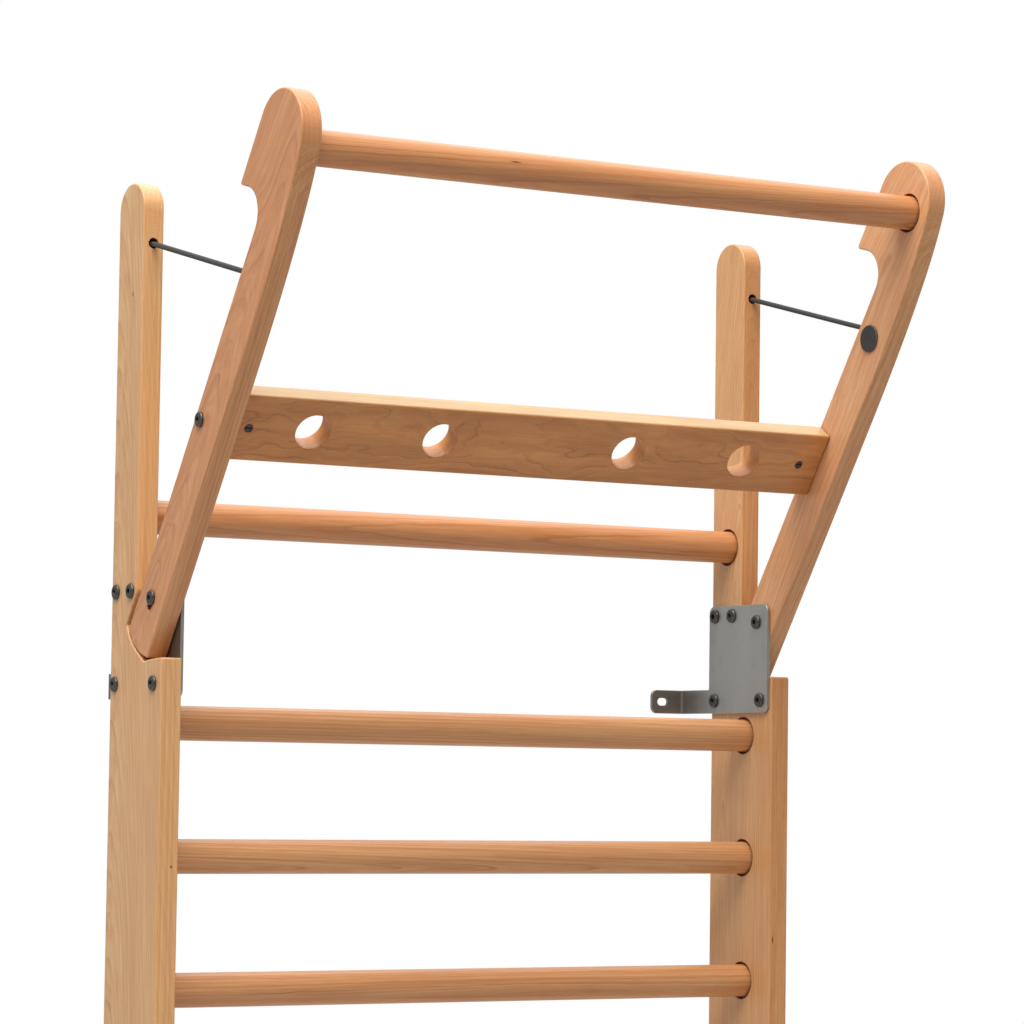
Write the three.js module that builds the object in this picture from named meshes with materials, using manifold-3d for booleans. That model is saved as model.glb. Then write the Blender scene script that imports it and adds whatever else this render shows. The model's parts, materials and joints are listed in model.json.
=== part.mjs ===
// Wall bars with a swing-out pull-up frame.
// Millimetres, +Z up. The origin is on the floor line of the wall, midway between the uprights.
// +X points to the right of someone facing the bars, +Y into the wall, so the bars lie at y below 0.
import * as THREE from "three";
import { mergeVertices } from "three/addons/utils/BufferGeometryUtils.js";
import Module from "manifold-3d";

const wasm = await Module();
wasm.setup();

// Driving dimensions of the wall frame
const OVERALL_WIDTH = 840;
const TIMBER = 25;
const WALL_GAP = 62;
const LOWER_DEPTH = 128;
const UPPER_DEPTH = 62;
const RUNG_COUNT = 10;
const RUNG_PITCH = 147.5;
const LOWEST_RUNG_HEIGHT = 230;
const RUNG_DIAMETER = 38.5;
const RUNG_DEPTH = 68;
const TOP_RUNG_DEPTH = 31;
const TOP_RUNG_RISE = 230;
const UPRIGHT_TOP_RISE = 604;
const SOCKET_DEPTH = 18;
const SOCKET_MOUTH_DIAMETER = 44.5;
const SOCKET_MOUTH_DEPTH = 5;
const EDGE_ROUND = 2;
const FIT_GAP = 0.2;

// Driving dimensions of the pull-up frame, in arm coordinates:
// along the arm from the pivot, and forward of the arm's centre line
const PIVOT_DEPTH = 100;
const PIVOT_RISE = 136.5;
const LEAN = THREE.MathUtils.degToRad(34.3);
const ARM_REAR = -28.5;
const ARM_FRONT = 29;
const ARM_SIDE_GAP = 0.3;
const ARM_END_RADIUS = 66.6;
const ARM_TAPER_FROM = 300;
const HEAD_CENTRE = new THREE.Vector2(-37.5, 551);
const HEAD_RADIUS = 49;
const HEAD_JOIN = THREE.MathUtils.degToRad(14);
const TAPER_PULL = 100;
const HEAD_PULL = 62;
const HOOK_ALONG = 466;
const HOOK_RADIUS = 3;
const THROAT_ALONG = 443.5;
const THROAT_RADIUS = 30.5;
const LIFT_TRAVEL = 10;
const BAR_PLACE = new THREE.Vector2(-23, 546);
const BAR_DIAMETER = 39;
const BOARD_LOW = 176.5;
const BOARD_HIGH = 258;
const BOARD_EDGE = 1.5;
const BOARD_HOLE_DIAMETER = 42;
const BOARD_HOLE_OFFSETS = [-286.5, -125.5, 125.5, 286.5];
const BARREL_NUT_OFFSET = 366;

// Notch of the upright
const SEAT_RADIUS = 68.2;
const NOTCH_BOTTOM_FORWARD = 23.5;
const LIP_DROP = 66;
const RECESS_CLEARANCE = 7.5;
const RECESS_BEND = 12;

// Steel and fittings
const PLATE = 4;
const PLATE_FRONT = 123;
const PLATE_ABOVE_PIVOT = 21.5;
const PLATE_BELOW_PIVOT = 109.5;
const PLATE_CORNER = 9;
const TAB_WIDTH = 29;
const TAB_LENGTH = 45;
const TAB_CORNER = 8;
const TAB_BEND = 3;
const SLOT_LENGTH = 15.5;
const SLOT_WIDTH = 9.5;
const SLOT_FROM_END = 16;
const LOWER_BRACKET_HEIGHT = 303;
const LOWER_BRACKET_REACH = 62;
const LOWER_SCREW_DEPTHS = [14, 48];
const SCREW_SHANK = 5;
const SCREW_HEAD = 10.4;
const SCREW_HEAD_HEIGHT = 3;
const SCREW_BITE = 18;
const BRACKET_BOLTS = [
  { place: "rear_top", depth: 12, rise: 9 },
  { place: "front_top", depth: 48, rise: 9 },
  { place: "rear_low", depth: 12, rise: -94 },
  { place: "front_low", depth: 108, rise: -94 },
];
const BOLT_HEAD_DIAMETER = 17;
const BOLT_HEAD_HEIGHT = 3.4;
const BOLT_SHANK = 6;
const SLEEVE_DIAMETER = 10;
const HEAD_RIM_HEIGHT = 1.5;
const HEAD_TOP_DIAMETER = 11.6;
const BOLT_TIP_INSET = 4;
const SLEEVE_TIP_INSET = 3;
const SLEEVE_FLOOR = 3;
const HEX_KEY = 6;
const HEX_DEPTH = 2.6;
const RUNNING_GAP = 0.3;
const BARREL_NUT_DIAMETER = 10;
const BARREL_NUT_LENGTH = 15;
const BARREL_NUT_SINK = 0.6;
const BARREL_BORE_SPARE = 6;
const DRIVER_SLOT_WIDTH = 1.6;
const DRIVER_SLOT_DEPTH = 1.5;
const BOARD_BOLT_PAST_NUT = 7;
const BOARD_BORE_PAST_NUT = 10;
const CORD_DIAMETER = 6;
const CORD_RISE = 534;
const UPRIGHT_CORD_HOLE = 11;
const ARM_CORD_HOLE = 9;
const CORD_ALONG = 391;
// Depth and height of the cord's route, with its bends at the mouths of the two bores
const CORD_ROUTE = [
  [5, 1944], [16, 1944], [27, 1944], [38, 1944], [47, 1944], [53, 1943.9], [58, 1943.5], [63, 1942.7],
  [70, 1941.2], [90, 1936.3], [120, 1928.9], [150, 1921.5], [180, 1914.1], [210, 1906.7], [240, 1899.3],
  [270, 1891.9], [290, 1887], [296, 1885.2], [301, 1882.6], [305, 1880], [309, 1877.3], [313.3, 1874.3],
];
const UPRIGHT_STOP_DIAMETER = 14;
const ARM_STOP_DIAMETER = 11.5;
const STOP_LENGTH = 11;
const COUNTERBORE_DIAMETER = 18;
const COUNTERBORE_DEPTH = 16;
const CAP_FORWARD = -3;
const CAP_DIAMETER = 32;
const CAP_RECESS_DIAMETER = 28;
const CAP_RECESS_DEPTH = 18.5;
const CAP_FLANGE = 2.4;
const CAP_PLUG = 4;
const CAP_BEVEL = 1.2;

// How far a cutting tool passes the surface it starts from
const OVERCUT = 1;

// Facets of round things
const ROUND = 18;
const SMALL_ROUND = 10;
const CURVE_STEPS = 4;
const CORD_STEPS = 32;

// Derived places
const OUTER_X = OVERALL_WIDTH / 2;
const INNER_X = OUTER_X - TIMBER;
const MIDDLE_X = OUTER_X - TIMBER / 2;
const SECOND_RUNG_HEIGHT = LOWEST_RUNG_HEIGHT + (RUNG_COUNT - 2) * RUNG_PITCH;
const PIVOT_HEIGHT = SECOND_RUNG_HEIGHT + PIVOT_RISE;
const UPRIGHT_TOP = SECOND_RUNG_HEIGHT + UPRIGHT_TOP_RISE;
const CORD_HEIGHT = SECOND_RUNG_HEIGHT + CORD_RISE;
const PLATE_INNER_X = INNER_X - FIT_GAP - PLATE;
const SCREW_TIP_X = INNER_X + SCREW_BITE;
const BOARD_BACK = ARM_REAR;
const BOARD_FRONT = ARM_REAR + TIMBER;
const BOARD_MIDDLE_ALONG = (BOARD_LOW + BOARD_HIGH) / 2;
const BOARD_MIDDLE_FORWARD = (BOARD_BACK + BOARD_FRONT) / 2;
const ARM_INNER_X = INNER_X + ARM_SIDE_GAP;
const ARM_OUTER_X = OUTER_X - ARM_SIDE_GAP;
const BOLT_FACE_X = OUTER_X + FIT_GAP;
const BOLT_TIP_X = INNER_X + BOLT_TIP_INSET;
const NUT_FACE_X = PLATE_INNER_X - FIT_GAP;
const SLEEVE_TIP_X = OUTER_X - SLEEVE_TIP_INSET;
const HEX_ACROSS_CORNERS = HEX_KEY / Math.cos(Math.PI / 6);

// Finishes
function finish(color, roughness, metalness) {
  return new THREE.MeshStandardMaterial({ color, roughness, metalness });
}

const uprightWood = () => finish(0xd3a675, 0.55, 0);
const rungWood = () => finish(0xc88a55, 0.55, 0);
const armWood = () => finish(0xb98055, 0.55, 0);
const boardWood = () => finish(0xb08050, 0.55, 0);
const brushedSteel = () => finish(0x84827d, 0.4, 0.9);
const blackSteel = () => finish(0x34343a, 0.45, 0.7);
const darkPlastic = () => finish(0x2e2e30, 0.6, 0);
const cordFibre = () => finish(0x333334, 0.8, 0);

// A closed geometry as a solid for cutting and joining
function toSolid(geometry) {
  const bare = geometry.clone();
  bare.deleteAttribute("normal");
  bare.deleteAttribute("uv");
  const merged = mergeVertices(bare, 1e-4);
  const vertProperties = new Float32Array(merged.attributes.position.array);
  const triVerts = new Uint32Array(merged.index.array);
  return new wasm.Manifold(new wasm.Mesh({ numProp: 3, vertProperties, triVerts }));
}

// A solid back as a flat-shaded geometry
function toGeometry(solid) {
  const { vertProperties, triVerts } = solid.getMesh();
  const indexed = new THREE.BufferGeometry();
  indexed.setAttribute("position", new THREE.BufferAttribute(vertProperties, 3));
  indexed.setIndex(new THREE.BufferAttribute(triVerts, 1));
  const flat = indexed.toNonIndexed();
  flat.computeVertexNormals();
  return flat;
}

function cut(blank, tools) {
  return toGeometry(tools.reduce((solid, tool) => solid.subtract(toSolid(tool)), toSolid(blank)));
}

function join(geometries) {
  const [first, ...others] = geometries.map(toSolid);
  return toGeometry(others.reduce((solid, other) => solid.add(other), first));
}

// Rounds a corner of an outline with an arc that touches both of its straight sides
function filletTo(outline, corner, next, radius) {
  const back = outline.currentPoint.clone().sub(corner).normalize();
  const ahead = next.clone().sub(corner).normalize();
  const half = Math.acos(back.dot(ahead)) / 2;
  const reach = radius / Math.tan(half);
  const start = corner.clone().addScaledVector(back, reach);
  const end = corner.clone().addScaledVector(ahead, reach);
  const middle = back.clone().add(ahead).normalize();
  const centre = corner.clone().addScaledVector(middle, radius / Math.sin(half));
  const from = start.sub(centre).angle();
  const to = end.clone().sub(centre).angle();
  outline.absarc(centre.x, centre.y, radius, from, to, back.cross(ahead) > 0);
}

// A rectangle with round corners
function roundedRectangle(left, bottom, right, top, radius) {
  const corners = [
    new THREE.Vector2(left, bottom),
    new THREE.Vector2(right, bottom),
    new THREE.Vector2(right, top),
    new THREE.Vector2(left, top),
  ];
  const outline = new THREE.Shape();
  outline.moveTo(left, (bottom + top) / 2);
  corners.forEach((corner, i) => filletTo(outline, corner, corners[(i + 1) % corners.length], radius));
  return outline;
}

// Extrudes a side outline (forward, up) across the bars, from one x to another, with rounded edges
function sideSolid(outline, xLow, xHigh, edge) {
  const geometry = new THREE.ExtrudeGeometry(outline, {
    depth: xHigh - xLow - 2 * edge,
    curveSegments: CURVE_STEPS,
    bevelEnabled: edge > 0,
    bevelThickness: edge,
    bevelSize: edge,
    bevelOffset: -edge,
    bevelSegments: 2,
  });
  const forward = new THREE.Vector3(0, -1, 0);
  const up = new THREE.Vector3(0, 0, 1);
  const across = new THREE.Vector3(-1, 0, 0);
  const turn = new THREE.Matrix4().makeBasis(forward, up, across);
  geometry.applyMatrix4(turn);
  geometry.translate(xHigh - edge, 0, 0);
  return geometry;
}

// A round bar along x
function acrossBar(diameter, xLow, xHigh, depth, height, facets) {
  const geometry = new THREE.CylinderGeometry(diameter / 2, diameter / 2, xHigh - xLow, facets);
  geometry.rotateZ(Math.PI / 2);
  geometry.translate((xLow + xHigh) / 2, -depth, height);
  return geometry;
}

// A round bar along y, from one forward distance to another
function forwardBar(diameter, rear, front, x, height, facets) {
  const geometry = new THREE.CylinderGeometry(diameter / 2, diameter / 2, front - rear, facets);
  geometry.translate(x, -(rear + front) / 2, height);
  return geometry;
}

// A turned piece whose axis lies along x: profile points are (radius, x)
function turnedAcross(profile, depth, height, facets) {
  const geometry = new THREE.LatheGeometry(profile.map(([r, x]) => new THREE.Vector2(r, x)), facets);
  geometry.rotateZ(-Math.PI / 2);
  geometry.translate(0, -depth, height);
  return geometry;
}

// The blind socket of a rung in the face at xFace, which points to lower x.
// Its wider mouth leaves a gap round the rung.
function socketTool(diameter, xFace, depth, height) {
  const bore = diameter / 2 + FIT_GAP;
  const mouth = SOCKET_MOUTH_DIAMETER / 2;
  const profile = [
    [0, xFace - OVERCUT],
    [mouth, xFace - OVERCUT],
    [mouth, xFace + SOCKET_MOUTH_DEPTH],
    [bore, xFace + SOCKET_MOUTH_DEPTH],
    [bore, xFace + SOCKET_DEPTH],
    [0, xFace + SOCKET_DEPTH],
  ];
  return turnedAcross(profile, depth, height, ROUND);
}

// Where a point of the arm lies when the frame is swung out, as (depth, height) beside the wall frame
function swungOut(forward, along) {
  const depth = PIVOT_DEPTH + along * Math.sin(LEAN) + forward * Math.cos(LEAN);
  const height = PIVOT_HEIGHT + along * Math.cos(LEAN) - forward * Math.sin(LEAN);
  return new THREE.Vector2(depth, height);
}

// Side outline of an upright, as (depth from its rear face, height).
// The notch has a seat that follows the arm's end round the pivot and runs on straight to its bottom,
// a lip that rises from there to the front as a long arc, and a recess behind the arm's rear edge.
function uprightOutline() {
  const pivot = new THREE.Vector2(PIVOT_DEPTH, PIVOT_HEIGHT);
  const bottom = swungOut(NOTCH_BOTTOM_FORWARD, -SEAT_RADIUS);
  const lipHeight = PIVOT_HEIGHT - LIP_DROP;
  const run = LOWER_DEPTH - bottom.x;
  const drop = lipHeight - bottom.y;
  const lipRadius = (run * run + drop * drop) / (2 * drop);
  const lipEnd = Math.PI / 2 + Math.asin(run / lipRadius);
  const recess = ARM_REAR - RECESS_CLEARANCE;
  const seatEnd = swungOut(recess, -Math.sqrt(SEAT_RADIUS ** 2 - recess ** 2));
  const recessAlong = (UPPER_DEPTH - PIVOT_DEPTH - recess * Math.cos(LEAN)) / Math.sin(LEAN);
  const recessTop = swungOut(recess, recessAlong);
  const seatFrom = swungOut(0, -SEAT_RADIUS).sub(pivot).angle();
  const seatTo = seatEnd.sub(pivot).angle();
  const roundTop = UPPER_DEPTH / 2;
  const outline = new THREE.Shape();
  outline.moveTo(0, 0);
  outline.lineTo(LOWER_DEPTH, 0);
  outline.absarc(LOWER_DEPTH, lipHeight - lipRadius, lipRadius, Math.PI / 2, lipEnd, false);
  outline.absarc(pivot.x, pivot.y, SEAT_RADIUS, seatFrom, seatTo, true);
  filletTo(outline, recessTop, new THREE.Vector2(UPPER_DEPTH, UPRIGHT_TOP), RECESS_BEND);
  outline.absarc(roundTop, UPRIGHT_TOP - roundTop, roundTop, 0, Math.PI, false);
  outline.closePath();
  return outline;
}

// A point on the arm's round end, which turns about the pivot
function armEnd(forward) {
  return new THREE.Vector2(forward, -Math.sqrt(ARM_END_RADIUS ** 2 - forward ** 2));
}

// Side outline of an arm, as (forward, along): round end, straight shank, head set back as a hook
function armOutline() {
  const taperStart = new THREE.Vector2(ARM_FRONT, ARM_TAPER_FROM);
  const joinWay = new THREE.Vector2(Math.cos(HEAD_JOIN), Math.sin(HEAD_JOIN));
  const headJoin = HEAD_CENTRE.clone().addScaledVector(joinWay, HEAD_RADIUS);
  const joinPull = headJoin.clone().add(new THREE.Vector2(joinWay.y, -joinWay.x).multiplyScalar(HEAD_PULL));
  const hook = new THREE.Vector2(HEAD_CENTRE.x - HEAD_RADIUS, HOOK_ALONG);
  const throat = new THREE.Vector2(ARM_REAR - THROAT_RADIUS, THROAT_ALONG);
  const toHook = hook.clone().sub(throat);
  const touch = toHook.angle() - Math.acos(THROAT_RADIUS / toHook.length());
  const touchWay = new THREE.Vector2(Math.cos(touch), Math.sin(touch));
  const touchPoint = throat.clone().addScaledVector(touchWay, THROAT_RADIUS);
  const outline = new THREE.Shape();
  outline.absarc(0, 0, ARM_END_RADIUS, armEnd(ARM_REAR).angle(), armEnd(ARM_FRONT).angle(), false);
  outline.lineTo(taperStart.x, taperStart.y);
  outline.bezierCurveTo(
    ARM_FRONT, ARM_TAPER_FROM + TAPER_PULL,
    joinPull.x, joinPull.y,
    headJoin.x, headJoin.y,
  );
  outline.absarc(HEAD_CENTRE.x, HEAD_CENTRE.y, HEAD_RADIUS, HEAD_JOIN, Math.PI, false);
  filletTo(outline, hook, touchPoint, HOOK_RADIUS);
  outline.absarc(throat.x, throat.y, THROAT_RADIUS, touch, 0, true);
  outline.closePath();
  return outline;
}

// The right upright with its sockets, bolt holes and the cord's way through
function makeUpright() {
  const blank = sideSolid(uprightOutline(), INNER_X, OUTER_X, EDGE_ROUND);
  const sockets = rungPlaces().map(
    ({ depth, height }) => socketTool(RUNG_DIAMETER, INNER_X, depth, height));
  const near = INNER_X - OVERCUT;
  const far = OUTER_X + OVERCUT;
  const bolts = BRACKET_BOLTS.map(({ depth, rise }) => acrossBar(
    SLEEVE_DIAMETER + 2 * FIT_GAP, near, far, depth, PIVOT_HEIGHT + rise, SMALL_ROUND));
  const screws = LOWER_SCREW_DEPTHS.map((depth) => acrossBar(
    SCREW_SHANK + 2 * FIT_GAP, near, SCREW_TIP_X + FIT_GAP, depth, LOWER_BRACKET_HEIGHT, SMALL_ROUND));
  const cord = forwardBar(
    UPRIGHT_CORD_HOLE, -OVERCUT, UPPER_DEPTH + OVERCUT, MIDDLE_X, CORD_HEIGHT, ROUND);
  const counterbore = forwardBar(
    COUNTERBORE_DIAMETER, -OVERCUT, COUNTERBORE_DEPTH, MIDDLE_X, CORD_HEIGHT, ROUND);
  return cut(blank, [...sockets, ...bolts, ...screws, cord, counterbore]);
}

// Depth and height of every rung, from the top one down
function rungPlaces() {
  const places = [{ depth: TOP_RUNG_DEPTH, height: SECOND_RUNG_HEIGHT + TOP_RUNG_RISE }];
  for (let i = 1; i < RUNG_COUNT; i += 1) {
    places.push({ depth: RUNG_DEPTH, height: SECOND_RUNG_HEIGHT - (i - 1) * RUNG_PITCH });
  }
  return places;
}

function makeRung({ depth, height }) {
  const end = INNER_X + SOCKET_DEPTH - FIT_GAP;
  return acrossBar(RUNG_DIAMETER, -end, end, depth, height, ROUND);
}

// The right arm with the bar's socket, the pivot slot, the board bolt's hole and the cord's anchorage
function makeArm() {
  const blank = sideSolid(armOutline(), ARM_INNER_X, ARM_OUTER_X, EDGE_ROUND);
  const socket = socketTool(BAR_DIAMETER, ARM_INNER_X, BAR_PLACE.x, BAR_PLACE.y);
  const slotRadius = SLEEVE_DIAMETER / 2 + RUNNING_GAP;
  const slotOutline = roundedRectangle(
    -slotRadius, -LIFT_TRAVEL - slotRadius, slotRadius, slotRadius, slotRadius - FIT_GAP / 10);
  const near = INNER_X - OVERCUT;
  const far = OUTER_X + OVERCUT;
  const slot = sideSolid(slotOutline, near, far, 0);
  const boardBolt = acrossBar(
    BOLT_SHANK + 2 * FIT_GAP, near, far, BOARD_MIDDLE_FORWARD, BOARD_MIDDLE_ALONG, SMALL_ROUND);
  const recess = acrossBar(
    CAP_RECESS_DIAMETER, near, ARM_INNER_X + CAP_RECESS_DEPTH, CAP_FORWARD, CORD_ALONG, ROUND);
  const cord = forwardBar(
    ARM_CORD_HOLE, ARM_REAR - OVERCUT, CAP_FORWARD, MIDDLE_X, CORD_ALONG, SMALL_ROUND);
  return cut(blank, [socket, slot, boardBolt, recess, cord]);
}

function makePullUpBar() {
  const end = ARM_INNER_X + SOCKET_DEPTH - FIT_GAP;
  return acrossBar(BAR_DIAMETER, -end, end, BAR_PLACE.x, BAR_PLACE.y, ROUND);
}

// The board between the arms, drilled for four grips, two bolts and their barrel nuts
function makeBoard() {
  const half = ARM_INNER_X - FIT_GAP;
  const outline = new THREE.Shape();
  outline.moveTo(-half, BOARD_LOW);
  outline.lineTo(half, BOARD_LOW);
  outline.lineTo(half, BOARD_HIGH);
  outline.lineTo(-half, BOARD_HIGH);
  outline.closePath();
  for (const offset of BOARD_HOLE_OFFSETS) {
    const hole = new THREE.Path();
    hole.absarc(offset, BOARD_MIDDLE_ALONG, BOARD_HOLE_DIAMETER / 2, 0, 2 * Math.PI, true);
    outline.holes.push(hole);
  }
  const blank = new THREE.ExtrudeGeometry(outline, {
    depth: TIMBER - 2 * BOARD_EDGE,
    curveSegments: ROUND / 2,
    bevelThickness: BOARD_EDGE,
    bevelSize: BOARD_EDGE,
    bevelOffset: -BOARD_EDGE,
    bevelSegments: 1,
  });
  blank.rotateX(Math.PI / 2);
  blank.translate(0, -(BOARD_BACK + BOARD_EDGE), 0);
  const tools = [];
  for (const side of [-1, 1]) {
    const boreEnd = side * (BARREL_NUT_OFFSET - BOARD_BORE_PAST_NUT);
    const boreMouth = side * (half + OVERCUT);
    tools.push(acrossBar(
      BOLT_SHANK + 2 * FIT_GAP, Math.min(boreEnd, boreMouth), Math.max(boreEnd, boreMouth),
      BOARD_MIDDLE_FORWARD, BOARD_MIDDLE_ALONG, SMALL_ROUND));
    tools.push(forwardBar(
      BARREL_NUT_DIAMETER + 2 * FIT_GAP, BOARD_FRONT - BARREL_NUT_LENGTH - BARREL_BORE_SPARE,
      BOARD_FRONT + OVERCUT, side * BARREL_NUT_OFFSET, BOARD_MIDDLE_ALONG, SMALL_ROUND));
  }
  return cut(blank, tools);
}

// A bolt with a low domed head and a hexagon socket; the head stands on xFace and points to higher x
function makeBolt(xFace, xTip, depth, height) {
  const top = xFace + BOLT_HEAD_HEIGHT;
  const blank = turnedAcross([
    [0, xTip],
    [BOLT_SHANK / 2, xTip],
    [BOLT_SHANK / 2, xFace],
    [BOLT_HEAD_DIAMETER / 2, xFace],
    [BOLT_HEAD_DIAMETER / 2, xFace + HEAD_RIM_HEIGHT],
    [HEAD_TOP_DIAMETER / 2, top],
    [0, top],
  ], depth, height, SMALL_ROUND);
  const key = acrossBar(HEX_ACROSS_CORNERS, top - HEX_DEPTH, top + OVERCUT, depth, height, 6);
  return cut(blank, [key]);
}

// The sleeve nut that a bolt screws into; its head stands on xFace and points to lower x
function makeSleeveNut(xFace, xTip, depth, height) {
  const top = xFace - BOLT_HEAD_HEIGHT;
  const bore = BOLT_SHANK / 2 + FIT_GAP;
  const boreEnd = xFace + SLEEVE_FLOOR;
  const blank = turnedAcross([
    [0, top],
    [HEAD_TOP_DIAMETER / 2, top],
    [BOLT_HEAD_DIAMETER / 2, xFace - HEAD_RIM_HEIGHT],
    [BOLT_HEAD_DIAMETER / 2, xFace],
    [SLEEVE_DIAMETER / 2, xFace],
    [SLEEVE_DIAMETER / 2, xTip],
    [bore, xTip],
    [bore, boreEnd],
    [0, boreEnd],
  ], depth, height, SMALL_ROUND);
  const key = acrossBar(HEX_ACROSS_CORNERS, top - OVERCUT, top + HEX_DEPTH, depth, height, 6);
  return cut(blank, [key]);
}

// The strip that runs from an upright to the wall and lies on it, with its slot
function wallTab(reach, height) {
  const outerBend = TAB_BEND + PLATE;
  const inner = PLATE_INNER_X;
  const outer = inner + PLATE;
  const section = new THREE.Shape();
  section.moveTo(outer, -WALL_GAP - reach);
  section.absarc(outer - outerBend, -outerBend, outerBend, 0, Math.PI / 2, false);
  section.lineTo(inner - TAB_LENGTH, 0);
  section.lineTo(inner - TAB_LENGTH, -PLATE);
  section.absarc(outer - outerBend, -outerBend, TAB_BEND, Math.PI / 2, 0, true);
  section.lineTo(inner, -WALL_GAP - reach);
  section.closePath();
  const strip = new THREE.ExtrudeGeometry(section, {
    depth: TAB_WIDTH,
    curveSegments: CURVE_STEPS - 1,
    bevelEnabled: false,
  });
  strip.translate(0, 0, height - TAB_WIDTH / 2);
  const end = inner - TAB_LENGTH;
  const face = roundedRectangle(end, -TAB_WIDTH / 2, outer + TAB_LENGTH, TAB_WIDTH / 2, TAB_CORNER);
  const slot = roundedRectangle(
    end + SLOT_FROM_END - SLOT_LENGTH / 2, -SLOT_WIDTH / 2,
    end + SLOT_FROM_END + SLOT_LENGTH / 2, SLOT_WIDTH / 2, SLOT_WIDTH / 2 - FIT_GAP / 10);
  face.holes.push(slot);
  const long = 2 * (WALL_GAP + reach);
  const punch = new THREE.ExtrudeGeometry(face, {
    depth: long,
    curveSegments: CURVE_STEPS,
    bevelEnabled: false,
  });
  punch.rotateX(Math.PI / 2);
  punch.translate(0, long / 2, height);
  return toGeometry(toSolid(strip).intersect(toSolid(punch)));
}

// The upper bracket: a plate over the notch that carries the pivot, and the tab to the wall
function makeUpperBracket() {
  const bottom = PIVOT_HEIGHT - PLATE_BELOW_PIVOT;
  const top = PIVOT_HEIGHT + PLATE_ABOVE_PIVOT;
  const outline = roundedRectangle(0, bottom, PLATE_FRONT, top, PLATE_CORNER);
  const plate = sideSolid(outline, PLATE_INNER_X, PLATE_INNER_X + PLATE, 0);
  plate.translate(0, -WALL_GAP, 0);
  const tab = wallTab(PLATE_FRONT / 2, bottom + TAB_WIDTH / 2);
  const near = PLATE_INNER_X - OVERCUT;
  const holes = BRACKET_BOLTS.map(({ depth, rise }) => acrossBar(
    SLEEVE_DIAMETER + 2 * FIT_GAP, near, INNER_X, WALL_GAP + depth, PIVOT_HEIGHT + rise, SMALL_ROUND));
  // The pivot turns in its hole, so that one is wider and rounder
  const bearing = acrossBar(
    SLEEVE_DIAMETER + 2 * RUNNING_GAP, near, INNER_X, WALL_GAP + PIVOT_DEPTH, PIVOT_HEIGHT, ROUND);
  return cut(join([plate, tab]), [...holes, bearing]);
}

// The lower bracket: the same strip without a plate, screwed to the upright
function makeLowerBracket() {
  const near = PLATE_INNER_X - OVERCUT;
  const holes = LOWER_SCREW_DEPTHS.map((depth) => acrossBar(
    SCREW_SHANK + 2 * FIT_GAP, near, INNER_X, WALL_GAP + depth, LOWER_BRACKET_HEIGHT, SMALL_ROUND));
  return cut(wallTab(LOWER_BRACKET_REACH, LOWER_BRACKET_HEIGHT), holes);
}

function makeLowerScrew(depth) {
  const profile = [
    [0, NUT_FACE_X - SCREW_HEAD_HEIGHT],
    [SCREW_HEAD / 4, NUT_FACE_X - SCREW_HEAD_HEIGHT],
    [SCREW_HEAD / 2, NUT_FACE_X - SCREW_HEAD_HEIGHT / 2],
    [SCREW_HEAD / 2, NUT_FACE_X],
    [SCREW_SHANK / 2, NUT_FACE_X],
    [SCREW_SHANK / 2, SCREW_TIP_X - SCREW_SHANK],
    [0, SCREW_TIP_X],
  ];
  return turnedAcross(profile, depth, LOWER_BRACKET_HEIGHT, SMALL_ROUND);
}

// A barrel nut in the board: cross-drilled for the bolt, slotted in its front end
function makeBarrelNut() {
  const front = BOARD_FRONT - BARREL_NUT_SINK;
  const body = forwardBar(
    BARREL_NUT_DIAMETER, front - BARREL_NUT_LENGTH, front,
    BARREL_NUT_OFFSET, BOARD_MIDDLE_ALONG, SMALL_ROUND);
  const drilling = acrossBar(
    BOLT_SHANK + 2 * FIT_GAP,
    BARREL_NUT_OFFSET - BARREL_NUT_DIAMETER, BARREL_NUT_OFFSET + BARREL_NUT_DIAMETER,
    BOARD_MIDDLE_FORWARD, BOARD_MIDDLE_ALONG, SMALL_ROUND);
  const driver = new THREE.BoxGeometry(
    BARREL_NUT_DIAMETER + 2 * OVERCUT, 2 * DRIVER_SLOT_DEPTH, DRIVER_SLOT_WIDTH);
  driver.translate(BARREL_NUT_OFFSET, -front, BOARD_MIDDLE_ALONG);
  return cut(body, [drilling, driver]);
}

// A stop sleeve crimped on the cord, as a ring along y
function makeStop(diameter, rear, x, height) {
  const bore = CORD_DIAMETER / 2 + FIT_GAP;
  const ring = new THREE.LatheGeometry([
    new THREE.Vector2(bore, 0),
    new THREE.Vector2(diameter / 2, 0),
    new THREE.Vector2(diameter / 2, STOP_LENGTH),
    new THREE.Vector2(bore, STOP_LENGTH),
    new THREE.Vector2(bore, 0),
  ], SMALL_ROUND);
  ring.translate(x, -rear - STOP_LENGTH, height);
  return ring;
}

// The flat cap over the cord's anchorage, seen on the arm's inner face
function makeCap() {
  const face = ARM_INNER_X - FIT_GAP;
  const plug = CAP_RECESS_DIAMETER / 2 - FIT_GAP;
  const profile = [
    [0, face - CAP_FLANGE],
    [CAP_DIAMETER / 2 - CAP_BEVEL, face - CAP_FLANGE],
    [CAP_DIAMETER / 2, face - CAP_FLANGE / 2],
    [CAP_DIAMETER / 2, face],
    [plug, face],
    [plug, face + CAP_PLUG],
    [0, face + CAP_PLUG],
  ];
  return turnedAcross(profile, CAP_FORWARD, CORD_ALONG, ROUND);
}

// A stay cord: along its bore in the upright, taut across, and along its bore in the arm to the stop there
function makeCord() {
  const points = CORD_ROUTE.map(
    ([depth, height]) => new THREE.Vector3(MIDDLE_X, -WALL_GAP - depth, height));
  const section = new THREE.Shape();
  section.absarc(0, 0, CORD_DIAMETER / 2, 0, 2 * Math.PI, false);
  return new THREE.ExtrudeGeometry(section, {
    extrudePath: new THREE.CatmullRomCurve3(points, false, "centripetal"),
    steps: CORD_STEPS,
    curveSegments: CURVE_STEPS,
    bevelEnabled: false,
  });
}

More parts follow.
